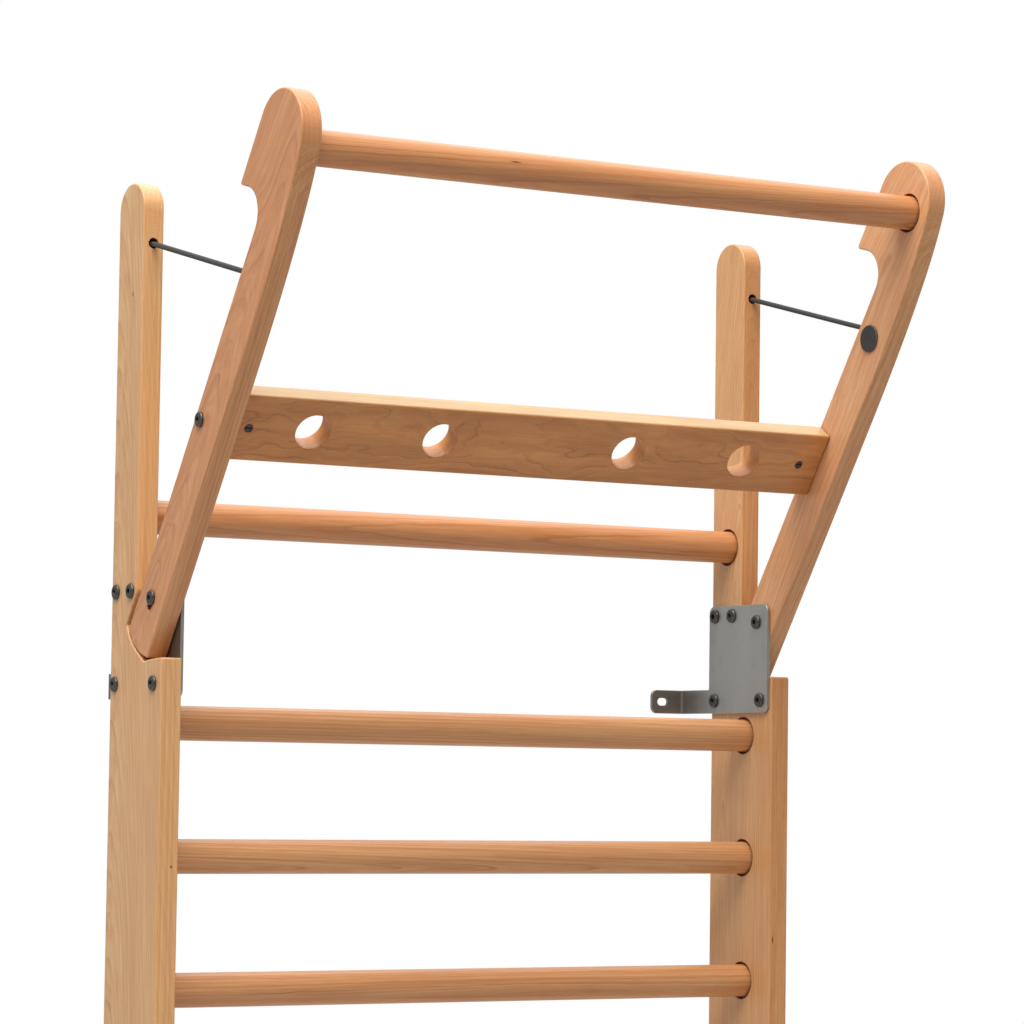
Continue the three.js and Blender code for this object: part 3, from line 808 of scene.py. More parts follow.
    def tinted(self, n: Nodes, value: Socket) -> Socket:
        """A brightness as a vector that also makes darker wood redder."""
        node = n.add("CombineXYZ")
        for socket, power in zip(node.inputs, self.tint):
            n.put(socket, n.math("POWER", value, power))
        return node.outputs[0]


@dataclass(frozen=True)
class SteelFinish:
    """Brushed mild steel with fine upright brush lines, stains, edges lighter from wear and painted highlight, and
    painted shade on the covered face and the wall tab.
    """

    name: str = "brushed_steel"
    base: Colour = (0.48, 0.475, 0.45)
    # Painted shade: its colour and share on the wall tab and on the face against the upright.
    raw: Colour = (0.09, 0.09, 0.088)
    raw_share: float = 0.62
    # Edges lighter from wear and painted highlight.
    edge: Colour = (0.62, 0.61, 0.58)
    edge_share: float = 0.6
    stain: Colour = (0.17, 0.16, 0.15)
    stain_share: float = 0.16
    stains: Cloud = Cloud((70.0, 70.0, 45.0), 4.0, 0.6)
    stain_stops: Stops = ((0.55, 0.0), (0.75, 1.0))
    brush: Cloud = Cloud((1500.0, 1500.0, 14.0), 3.0, 0.6)
    brush_share: float = 0.22
    clouds: Cloud = Cloud((26.0, 26.0, 9.0), 3.0, 0.55)
    cloud_share: float = 0.30
    between: Point2 = (0.72, 1.45)
    rough: float = 0.3
    rough_range: float = 0.2
    bump: Point2 = (0.12, 0.0002)
    metal: float = 0.85

    def build(self) -> bpy.types.Material:
        """The finish as a material, which reads the attributes of the painted shade and of the edges' wear and
        painted highlight.
        """
        n = Nodes(self.name)
        at = n.place()
        line = n.noise(at, self.brush)
        cloud = n.noise(at, self.clouds)
        stain = n.curve(n.noise(at, self.stains), self.stain_stops)
        tone = n.math("ADD", n.math("MULTIPLY", line, self.brush_share), n.math("MULTIPLY", cloud, self.cloud_share))
        colour = n.mix(tone, *[tuple(k * c for c in self.base) for k in self.between])
        colour = n.mix(n.math("MULTIPLY", stain, self.stain_share), colour, self.stain)
        # Painted shade on the covered face and towards the tab.
        colour = n.mix(n.math("MULTIPLY", n.attribute("raw", "Fac"), self.raw_share), colour, self.raw)
        # Edges lightened as wear and painted highlight.
        colour = n.mix(n.math("MULTIPLY", n.attribute("wear", "Fac"), self.edge_share), colour, self.edge)
        rough = n.math("ADD", n.math("MULTIPLY", line, self.rough_range), self.rough)
        return n.finish(Base_Color=colour, Roughness=rough, Normal=n.bump(line, *self.bump), Metallic=self.metal)


@dataclass(frozen=True)
class FittingFinish:
    """Black zinc of the bolts: dark, satin, with a rim lightened as wear and painted highlight, and painted shade in
    the key socket.
    """

    name: str = "black_zinc"
    base: Colour = (0.030, 0.030, 0.031)
    lighter: float = 1.9
    # Rim colour: wear and painted highlight.
    worn: Colour = (0.15, 0.147, 0.143)
    worn_share: float = 0.75
    # Painted shade in the key socket.
    pocket: Colour = (0.004, 0.004, 0.004)
    clouds: Cloud = Cloud((420.0, 420.0, 420.0), 3.0, 0.6)
    cloud_stops: Stops = ((0.3, 0.0), (0.72, 1.0))
    chafe_stops: Stops = ((0.35, 0.35), (0.62, 1.0))
    pits: Cloud = Cloud((2600.0, 2600.0, 2600.0))
    rough: float = 0.26
    rough_range: float = 0.24
    bump: Point2 = (0.12, 0.0002)
    metal: float = 0.6

    def build(self) -> bpy.types.Material:
        """The finish as a material, which reads the attributes of the rim's wear and painted highlight and of the
        key socket's painted shade.
        """
        n = Nodes(self.name)
        at = n.place()
        cloud = n.noise(at, self.clouds)
        colour = n.mix(n.curve(cloud, self.cloud_stops), self.base, tuple(self.lighter * c for c in self.base))
        # Rim lightened as wear and painted highlight.
        chafe = n.math("MULTIPLY", n.attribute("wear", "Fac"), n.curve(cloud, self.chafe_stops))
        colour = n.mix(n.math("MULTIPLY", chafe, self.worn_share), colour, self.worn)
        # Painted shade in the key socket.
        colour = n.mix(n.attribute("pocket", "Fac"), colour, self.pocket)
        rough = n.math("ADD", n.math("MULTIPLY", cloud, self.rough_range), self.rough)
        return n.finish(Base_Color=colour, Roughness=rough, Normal=n.bump(n.noise(at, self.pits), *self.bump),
                        Metallic=self.metal)


@dataclass(frozen=True)
class PlasticFinish:
    """Moulded charcoal plastic of the caps: fine grain and a slight sheen."""

    name: str = "moulded_plastic"
    base: Colour = (0.030, 0.028, 0.026)
    between: Point2 = (0.8, 1.35)
    worn: Colour = (0.15, 0.145, 0.14)
    worn_share: float = 0.5
    grain: Cloud = Cloud((1900.0, 1900.0, 1900.0))
    clouds: Cloud = Cloud((120.0, 120.0, 120.0), 3.0)
    rough: float = 0.46
    rough_range: float = 0.16
    bump: Point2 = (0.2, 0.0003)

    def build(self) -> bpy.types.Material:
        """The finish as a material, which reads the attribute wear."""
        n = Nodes(self.name)
        at = n.place()
        grain = n.noise(at, self.grain)
        colour = n.mix(n.noise(at, self.clouds), *[tuple(k * c for c in self.base) for k in self.between])
        colour = n.mix(n.math("MULTIPLY", n.attribute("wear", "Fac"), self.worn_share), colour, self.worn)
        rough = n.math("ADD", n.math("MULTIPLY", grain, self.rough_range), self.rough)
        return n.finish(Base_Color=colour, Roughness=rough, Normal=n.bump(grain, *self.bump))


@dataclass(frozen=True)
class CordFinish:
    """Braided charcoal cord: two sets of strands that cross, read from the tube's own map."""

    name: str = "braided_cord"
    base: Colour = (0.013, 0.013, 0.013)
    high: Colour = (0.042, 0.041, 0.040)
    strands: float = 8.0
    lay: float = 95.0
    crest: float = 3.0
    hairs: Cloud = Cloud((2200.0, 2200.0, 2200.0), 2.0, 0.6)
    hair_share: float = 0.7
    hair_height: float = 0.25
    rough: float = 0.62
    rough_range: float = 0.2
    bump: Point2 = (0.5, 0.0005)
    sheen: float = 0.12
    sheen_rough: float = 0.5

    def build(self) -> bpy.types.Material:
        """The finish as a material, which reads the attribute braid."""
        n = Nodes(self.name)
        split = n.add("SeparateXYZ")
        n.put(split.inputs[0], n.attribute("braid", "Vector"))
        along = n.math("MULTIPLY", split.outputs["Y"], self.lay)
        waves = []
        for sign in (1.0, -1.0):
            turn = n.math("ADD", n.math("MULTIPLY", split.outputs["X"], sign * self.strands), along)
            waves.append(n.math("ABSOLUTE", n.math("SINE", n.math("MULTIPLY", turn, math.pi))))
        over = n.math("MAXIMUM", waves[0], waves[1])
        hair = n.noise(n.place(), self.hairs)
        fuzz = n.math("ADD", n.math("MULTIPLY", hair, self.hair_share), 1.0 - self.hair_share)
        colour = n.mix(n.math("MULTIPLY", n.math("POWER", over, self.crest), fuzz), self.base, self.high)
        height = n.math("ADD", over, n.math("MULTIPLY", hair, self.hair_height))
        rough = n.math("ADD", n.math("MULTIPLY", hair, self.rough_range), self.rough)
        return n.finish(Base_Color=colour, Roughness=rough, Normal=n.bump(height, *self.bump),
                        Sheen_Weight=self.sheen, Sheen_Roughness=self.sheen_rough)


class Finishes:
    """All materials of the object, each built once."""

    UPRIGHT = WoodFinish(
        "upright_fruitwood", pale=(0.70, 0.41, 0.20), warm=(0.64, 0.345, 0.15), late=(0.36, 0.17, 0.07),
        ring=0.0046, contrast=0.7, taper=0.085, warp=0.014, fibre=0.58, ripple=0.0024,
        knots=(Knot((-0.4037, -0.190, 1.2524), (0.0016, 0.004, 0.0022)),
               Knot((0.3993, -0.190, 1.1660), (0.0014, 0.004, 0.0058)),
               Knot((-0.420, -0.0999, 1.8884), (0.002, 0.0016, 0.0045))))
    RUNG = WoodFinish(
        "rung_fruitwood", pale=(0.575, 0.254, 0.100), warm=(0.515, 0.214, 0.079), late=(0.26, 0.096, 0.034),
        ring=0.0036, contrast=0.9, taper=0.012, warp=0.007, fibre=0.78,
        knots=(Knot((-0.1465, -0.4695, 2.0156), (0.009, 0.005, 0.0011)),))
    ARM = WoodFinish(
        "arm_fruitwood", pale=(0.675, 0.322, 0.150), warm=(0.58, 0.255, 0.108), late=(0.25, 0.098, 0.04),
        ring=0.0058, contrast=0.42, taper=0.10, warp=0.020, fibre=0.60, ripple=0.0028,
        wave=Cloud((11.0, 11.0, 5.5), 2.0, 0.45), narrow=(0.97, 1.0, 0.93), stripe=0.3)
    BOARD = WoodFinish(
        "board_fruitwood", pale=(0.63, 0.258, 0.075), warm=(0.456, 0.177, 0.048), late=(0.165, 0.058, 0.017),
        ring=0.0042, contrast=0.95, taper=0.012, warp=0.030, fibre=0.52, ripple=0.0055,
        wave=Cloud((14.0, 14.0, 6.5), 2.0, 0.45), mottle=Cloud((26.0, 26.0, 7.0), 3.0, 0.55),
        # On the board the narrow colour pales the upper edge as part of a painted highlight.
        narrow=(0.81, 1.06, 1.48), fade=((0.42, 0.0), (0.62, 1.0)))

    def __init__(self) -> None:
        """Builds every material."""
        self.upright = self.UPRIGHT.build()
        self.rung = self.RUNG.build()
        self.arm = self.ARM.build()
        self.board = self.BOARD.build()
        self.steel = SteelFinish().build()
        self.fitting = FittingFinish().build()
        self.plastic = PlasticFinish().build()
        self.cord = CordFinish().build()


def dress(made: Piece, material: bpy.types.Material, body: Body, slot: Slot, *nodes: str) -> None:
    """Gives a finished piece its material, its body and the nodes it stands for.

    Args:
        made: The piece.
        material: Its only material.
        body: The body it rides on.
        slot: The record's slot of its finish. Not used.
        nodes: The frame's nodes that it replaces.
    """
    made.data.materials.clear()
    made.data.materials.append(material)
    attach(made, body.value)
    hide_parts(*nodes)
    LOG.info("%s: %d faces, for %s", made.name, len(made.data.polygons), ", ".join(nodes))


def edge_wear(made: Piece, low: float, high: float, edge: float) -> None:
    """Marks the rounded edges of a slab that lies across x, which the finishes lighten as painted highlight and
    wear.

    Args:
        made: The piece.
        low: Its face nearest the middle, as a distance in millimetres.
        high: Its other face.
        edge: The edge's radius.
    """
    x = np.abs(vertices(made)[:, 0]) / MM
    near = np.clip(np.minimum(x - low, high - x) / edge, 0, 1)
    write_attribute(made, "wear", np.sin(2 * np.arccos(1 - near)))


def timber_tone(made: Piece, log: Log, low: float, high: float,
                bores: Bores, skin: float = 0.3, end_fall: Point2 = (1.2, 1.6)) -> None:
    """Marks how light each part of a sawn slab is, and which faces are cut across the rings.

    Args:
        made: The slab, which lies across x.
        log: Its log.
        low: Its face nearest the middle, as a distance in millimetres.
        high: Its other face.
        bores: Its bores as (distance of each vertex from the axis, radius, tone of the painted shade inside), in
            millimetres.
        skin: How far in from a broad face its tone ends.
        end_fall: How the mark of a cut across the rings falls off towards end grain.
    """
    x = np.abs(vertices(made)[:, 0]) / MM
    inside = (x > low + skin) & (x < high - skin)
    tone = log.tone + np.where(inside, log.rim, 0.0)
    # Painted shade: vertices inside a bore take its darker tone.
    for away, radius, inner in bores:
        tone = np.where(inside & (away < radius), inner, tone)
    write_attribute(made, "tone", tone)
    normal = np.zeros(len(made.data.vertices) * 3, np.float32)
    made.data.vertices.foreach_get("normal", normal)
    end_grain = np.abs(normal.reshape(-1, 3) @ np.array(log.along))
    write_attribute(made, "quarter", inside * np.clip(end_fall[0] - end_fall[1] * end_grain, 0, 1))


def round_tool(name: str, profile: Sequence[Point2], at: Point2, place: Place, side: Side,
               along_forward: bool = False) -> Piece:
    """A turned cutting tool in its place.

    Args:
        name: Its name.
        profile: (radius, place on the axis).
        at: The axis's other two coordinates.
        place: Turns its coordinates into metres.
        side: Which side it cuts.
        along_forward: Whether the axis lies forward.

    Returns:
        The tool.
    """
    return Solid().turned(profile, at, TOOL_FACETS, along_forward).placed(name, place, side)


def socket_profile(diameter: float, face: float) -> list[Point2]:
    """The blind socket of a round bar in a face that points to lower x, with its wider mouth.

    Args:
        diameter: The bar's diameter.
        face: The face's x.

    Returns:
        The tool's profile.
    """
    bore, mouth = diameter / 2 + F.fit, F.socket_mouth / 2
    floor, wide = face + F.socket_mouth_depth, mouth + F.socket_ease
    return [(wide, face - CLEAR), (wide, face), (mouth, face + F.socket_ease), (mouth, floor), (bore, floor),
            (bore, face + F.socket_depth)]


@dataclass
class Uprights:
    """The two uprights, each one plank with its notch, sockets and drillings."""

    seat_radius: float = 68.2
    notch_forward: float = 23.5
    lip_drop: float = 66.0
    recess_clearance: float = 7.5
    recess_bend: float = 12.0
    corner: float = 2.7
    lip_start: float = 3.0
    bolt_hole: float = 10.4
    screw_hole: float = 5.4
    cord_hole: float = 11.0
    cord_spread: float = 0.7
    cord_shade: float = 0.4
    counterbore: Point2 = (18.0, 16.0)
    bolt_places: tuple[Point2, ...] = ((12, 9), (48, 9), (12, -94), (108, -94))
    screw_depths: tuple[float, ...] = (14, 48)
    screw_height: float = 303.0
    screw_end: float = 413.2

    def outline(self) -> np.ndarray:
        """The side outline as (depth, height)."""
        pivot = Vector((F.pivot_depth, F.pivot_height))
        bottom = Vector(F.swung_out(self.notch_forward, -self.seat_radius))
        lip = F.pivot_height - self.lip_drop
        run, drop = F.lower_depth - bottom.x, lip - bottom.y
        lip_radius = (run * run + drop * drop) / (2 * drop)
        recess = F.arm_rear - self.recess_clearance
        seat_end = Vector(F.swung_out(recess, -math.sqrt(self.seat_radius ** 2 - recess ** 2)))
        along = (F.upper_depth - F.pivot_depth - recess * math.cos(F.lean)) / math.sin(F.lean)
        recess_top = F.swung_out(recess, along)
        seat_from = math.atan2(*(Vector(F.swung_out(0, -self.seat_radius)) - pivot).yx)
        seat_to = math.atan2(*(seat_end - pivot).yx)
        half = F.upper_depth / 2
        shape = Outline()
        shape.line((0, F.pivot_height))
        shape.fillet((0, 0), (F.lower_depth, 0), self.corner)
        shape.fillet((F.lower_depth, 0), (F.lower_depth, lip), self.corner)
        shape.fillet((F.lower_depth, lip), (0, lip), self.corner)
        start, end = (math.pi / 2 + math.asin(x / lip_radius) for x in (self.lip_start, run))
        shape.arc((F.lower_depth, lip - lip_radius), lip_radius, start, end)
        turn = (seat_to - seat_from + math.pi) % (2 * math.pi) - math.pi
        shape.arc(tuple(pivot), self.seat_radius, seat_from, seat_from + turn)
        shape.fillet(recess_top, (F.upper_depth, F.upright_top), self.recess_bend)
        shape.arc((half, F.upright_top - half), half, 0, math.pi)
        return shape.ring()

    def tools(self, side: Side) -> list[Piece]:
        """Everything that is drilled out of one upright."""
        near, far = F.inner_x - CLEAR, F.outer_x + CLEAR
        made = []
        for i, place in enumerate(F.rung_places()):
            profile = socket_profile(F.rung_diameter, F.inner_x)
            made.append(round_tool(f"socket_{i}", profile, place, F.wall_place, side))
        for depth, rise in self.bolt_places:
            profile = [(self.bolt_hole / 2, x) for x in (near, far)]
            made.append(round_tool("bolt_hole", profile, (depth, F.pivot_height + rise), F.wall_place, side))
        for depth in self.screw_depths:
            profile = [(self.screw_hole / 2, x) for x in (near, self.screw_end)]
            made.append(round_tool("screw_hole", profile, (depth, self.screw_height), F.wall_place, side))
        wide, deep = self.counterbore
        hole, face = self.cord_hole / 2, F.upper_depth
        mouth = hole + F.cord_ease + F.cord_proud
        profile = [(wide / 2, -CLEAR), (wide / 2, deep), (hole, deep), (hole, face - F.cord_ease),
                   (mouth, face + F.cord_proud), (mouth, face + CLEAR)]
        made.append(round_tool("cord_way", profile, (F.middle_x * side.value, F.cord_height),
                               F.wall_place, Side.RIGHT, True))
        return made

    def bores(self, made: Piece) -> Bores:
        """Painted shade inside the rungs' sockets and the cord's way, as a darker tone."""
        p = vertices(made) / MM
        found = []
        for depth, height in F.rung_places():
            away = np.hypot(p[:, 1] + F.wall_gap + depth, p[:, 2] - height)
            found.append((away, F.socket_mouth / 2 + F.bore_spread, F.bore_tone))
        away = np.hypot(np.abs(p[:, 0]) - F.middle_x, p[:, 2] - F.cord_height)
        behind = np.where(p[:, 1] > -F.wall_gap - F.upper_depth + self.cord_shade, away, np.inf)
        return found + [(behind, self.cord_hole / 2 + self.cord_spread, F.bore_tone)]

    def build(self, finishes: Finishes) -> None:
        """Makes both uprights and dresses them."""
        along, face = (0, 0, 1), (-1, 0, 0)
        logs = {
            Side.LEFT: Log(along, face, pith=-0.062, aside=0.056, start=0.35, tone=0.2, rim=-0.2),
            Side.RIGHT: Log(along, face, pith=-0.030, aside=0.140, start=1.90, tone=-0.3, tilt=-0.08, rim=-0.9),
        }
        for side in Side:
            solid = Solid().slab(self.outline(), F.inner_x, F.outer_x, F.edge)
            made = solid.placed(f"{side.word}_upright_timber", F.wall_place, side)
            carve(made, self.tools(side))
            soften(made)
            origin = F.wall_place(F.middle_x * side.value, F.lower_depth / 2, 0)
            log = logs[side]
            write_attribute(made, "grain", log.mark(made, origin))
            timber_tone(made, log, F.inner_x, F.outer_x, self.bores(made))
            edge_wear(made, F.inner_x, F.outer_x, F.edge)
            dress(made, finishes.upright, Body.WALL, Slot.UPRIGHT, f"{side.word}_upright")


class Tree:
    """A short way to write a Geometry Nodes tree with named inputs."""

    def __init__(self, name: str) -> None:
        """Starts a tree with a geometry input and output.

        Args:
            name: The tree's name.
        """
        self.tree = bpy.data.node_groups.new(name, "GeometryNodeTree")
        self.tree.interface.new_socket("Geometry", in_out="INPUT", socket_type="NodeSocketGeometry")
        self.tree.interface.new_socket("Geometry", in_out="OUTPUT", socket_type="NodeSocketGeometry")
        self.values: dict[str, object] = {}
        self.input = self.tree.nodes.new("NodeGroupInput")
        self.output = self.tree.nodes.new("NodeGroupOutput")

    def take(self, name: str, kind: str, value: object) -> Socket:
        """Adds a named input.

        Args:
            name: The input's name.
            kind: Float, Int, Vector, Material or Object.
            value: What the modifier sets it to.

        Returns:
            The socket inside the tree.
        """
        made = self.tree.interface.new_socket(name, in_out="INPUT", socket_type="NodeSocket" + kind)
        self.values[made.identifier] = value
        return [s for s in self.input.outputs if s.identifier == made.identifier][0]

    def add(self, kind: str, settings: Optional[dict[str, object]] = None,
            **inputs: object) -> bpy.types.Node:
        """Adds a node and links or sets its inputs.

        Args:
            kind: The node's type.
            settings: Its own properties.
            inputs: Its inputs by name, underscores for spaces.

        Returns:
            The node.
        """
        node = self.tree.nodes.new(kind)
        for key, value in (settings or {}).items():
            setattr(node, key, value)
        for key, value in inputs.items():
            self.put(next(s for s in node.inputs if s.enabled and s.name == key.replace("_", " ")), value)
        return node

    def put(self, socket: Socket, value: object) -> None:
        """Links or sets an input."""
        if isinstance(value, Socket):
            self.tree.links.new(value, socket)
        else:
            socket.default_value = value

    def math(self, operation: str, a: Value, b: Value = 0.0) -> Socket:
        """The result of an operation on two numbers."""
        node = self.tree.nodes.new("ShaderNodeMath")
        node.operation = operation
        self.put(node.inputs[0], a)
        self.put(node.inputs[1], b)
        return node.outputs[0]

    def end(self, geometry: Socket, material: bpy.types.Material) -> None:
        """Ends the tree: instances made real, material set."""
        real = self.add("GeometryNodeRealizeInstances", Geometry=geometry)
        painted = self.add("GeometryNodeSetMaterial", Geometry=real.outputs[0],
                           Material=self.take("Material", "Material", material))
        self.tree.links.new(painted.outputs[0], self.output.inputs[0])

    def grow(self, made: Piece) -> None:
        """Runs the tree on an object and leaves a plain mesh."""
        step = made.modifiers.new(self.tree.name, "NODES")
        step.node_group = self.tree
        for identifier, value in self.values.items():
            step[identifier] = value
        settle(made)


def loose_points(name: str, places: Sequence[Vector]) -> Piece:
    """A mesh of loose points for a tree to work on."""
    data = bpy.data.meshes.new(name)
    data.from_pydata(places, [], [])
    made = bpy.data.objects.new(name, data)
    bpy.context.scene.collection.objects.link(made)
    return made


@dataclass
class RoundBars:
    """Turned round bars across the frame: the ladder of rungs and the pull-up bar."""

    facets: int = 96
    steps: int = 61
    end_taper: float = 0.94
    end_share: float = 0.001
    unevenness: float = 0.006
    waves: float = 7.0
    sharp: float = 50.0
    bar_diameter: float = 39.0
    bar_place: Point2 = (-23.0, 546.0)
    arm_gap: float = 0.3
    # The second rung's higher tone paints light over the shade that the board and the rung above cast on it.
    rung_tones: tuple[float, ...] = (0.1, 1.1, 0.9, 0.9, 0.5, 0.3, 0.7, 0.4, 0.6, 0.5)
    bar_tones: tuple[float, ...] = (0.1,)
    pith: Point2 = (0.012, 0.06)
    aside: Point2 = (-0.02, 0.02)
    start: Point2 = (0.0, 9.0)
    log_tone: Point2 = (-0.2, 0.2)
    tilt: Point2 = (-0.012, 0.012)

    def tree(self, name: str, length: float, diameter: float, seed: int,
             material: bpy.types.Material) -> Tree:
        """Turned bars at the points of a mesh.

        Args:
            name: The tree's name.
            length: A bar's length in millimetres.
            diameter: Its diameter.
            seed: Where its unevenness is read from the noise.
            material: Its finish.

        Returns:
            The tree.
        """
        tree = Tree(name)
        half = tree.math("DIVIDE", tree.take("Length", "Float", length * MM), 2.0)
        radius = tree.math("DIVIDE", tree.take("Diameter", "Float", diameter * MM), 2.0)
        start = tree.add("ShaderNodeCombineXYZ", X=tree.math("MULTIPLY", half, -1.0))
        end = tree.add("ShaderNodeCombineXYZ", X=half)
        axis = tree.add("GeometryNodeCurvePrimitiveLine", Start=start.outputs[0], End=end.outputs[0])
        axis = tree.add("GeometryNodeResampleCurve", Curve=axis.outputs[0],
                        Count=tree.take("Steps", "Int", self.steps))
        along = tree.add("GeometryNodeSplineParameter").outputs["Factor"]
        ends = tree.math("MULTIPLY", along, tree.math("SUBTRACT", 1.0, along))
        tip = tree.math("LESS_THAN", ends, self.end_share)
        taper = tree.math("SUBTRACT", 1.0, tree.take("End taper", "Float", self.end_taper))
        lost = tree.math("MULTIPLY", tip, taper)
        place = tree.add("GeometryNodeInputPosition").outputs[0]
        wobble = tree.add("ShaderNodeTexNoise", {"noise_dimensions": "4D"}, Vector=place, Scale=self.waves,
                          W=tree.take("Seed", "Float", float(seed)))
        amount = tree.math("MULTIPLY", tree.math("SUBTRACT", wobble.outputs[0], 0.5),
                           tree.take("Unevenness", "Float", self.unevenness))
        share = tree.math("SUBTRACT", tree.math("ADD", 1.0, amount), lost)
        ring = tree.add("GeometryNodeCurvePrimitiveCircle", Radius=radius,
                        Resolution=tree.take("Facets", "Int", self.facets))
        bar = tree.add("GeometryNodeCurveToMesh", Curve=axis.outputs[0], Profile_Curve=ring.outputs[0],
                       Fill_Caps=True, Scale=share)
        spots = tree.add("GeometryNodeInstanceOnPoints", Points=tree.input.outputs[0],
                         Instance=bar.outputs[0])
        tree.end(spots.outputs[0], material)
        return tree

    def mark(self, made: Piece, places: Sequence[Vector], seed: int, tones: Sequence[float]) -> None:
        """Gives each bar its own log and tone.

        Args:
            made: The mesh with all bars.
            places: The middle of each bar.
            seed: Start of the choice of logs.
            tones: How much lighter than its log each bar is.
        """
        chance = random.Random(seed)
        at = vertices(made)
        middles = np.array([tuple(p) for p in places])
        owner = ((at[:, None, 1:] - middles[None, :, 1:]) ** 2).sum(2).argmin(1)
        grain = np.zeros((len(at), 3))
        tone = np.zeros(len(at))
        for i, place in enumerate(places):
            turn = chance.uniform(0, 2 * math.pi)
            log = Log((1, 0, 0), (0, math.cos(turn), math.sin(turn)), chance.uniform(*self.pith),
                      chance.uniform(*self.aside), chance.uniform(*self.start), chance.uniform(*self.log_tone),
                      chance.uniform(*self.tilt))
            mine = owner == i
            grain[mine] = log.mark(made, place, mine)
            tone[mine] = log.tone + tones[i]
        write_attribute(made, "grain", grain)
        write_attribute(made, "tone", tone)

    def build(self, finishes: Finishes) -> None:
        """Makes the rungs and the pull-up bar and dresses them."""
        places = [F.wall_place(0, *p) for p in F.rung_places()]
        rungs = loose_points("rung_ladder", places)
        length = 2 * (F.inner_x + F.socket_depth - F.fit)
        self.tree("rung_tree", length, F.rung_diameter, seed=3, material=finishes.rung).grow(rungs)
        soften(rungs, self.sharp)
        self.mark(rungs, places, seed=11, tones=self.rung_tones)
        dress(rungs, finishes.rung, Body.WALL, Slot.RUNG, *[f"rung_{i + 1:02d}" for i in range(F.rung_count)])
        place = [F.arm_place(0, *self.bar_place)]
        bar = loose_points("pullup_round_bar", place)
        length += 2 * self.arm_gap
        self.tree("bar_tree", length, self.bar_diameter, seed=8, material=finishes.rung).grow(bar)
        soften(bar, self.sharp)
        self.mark(bar, place, seed=26, tones=self.bar_tones)
        dress(bar, finishes.rung, Body.SWING, Slot.RUNG, "pullup_bar")


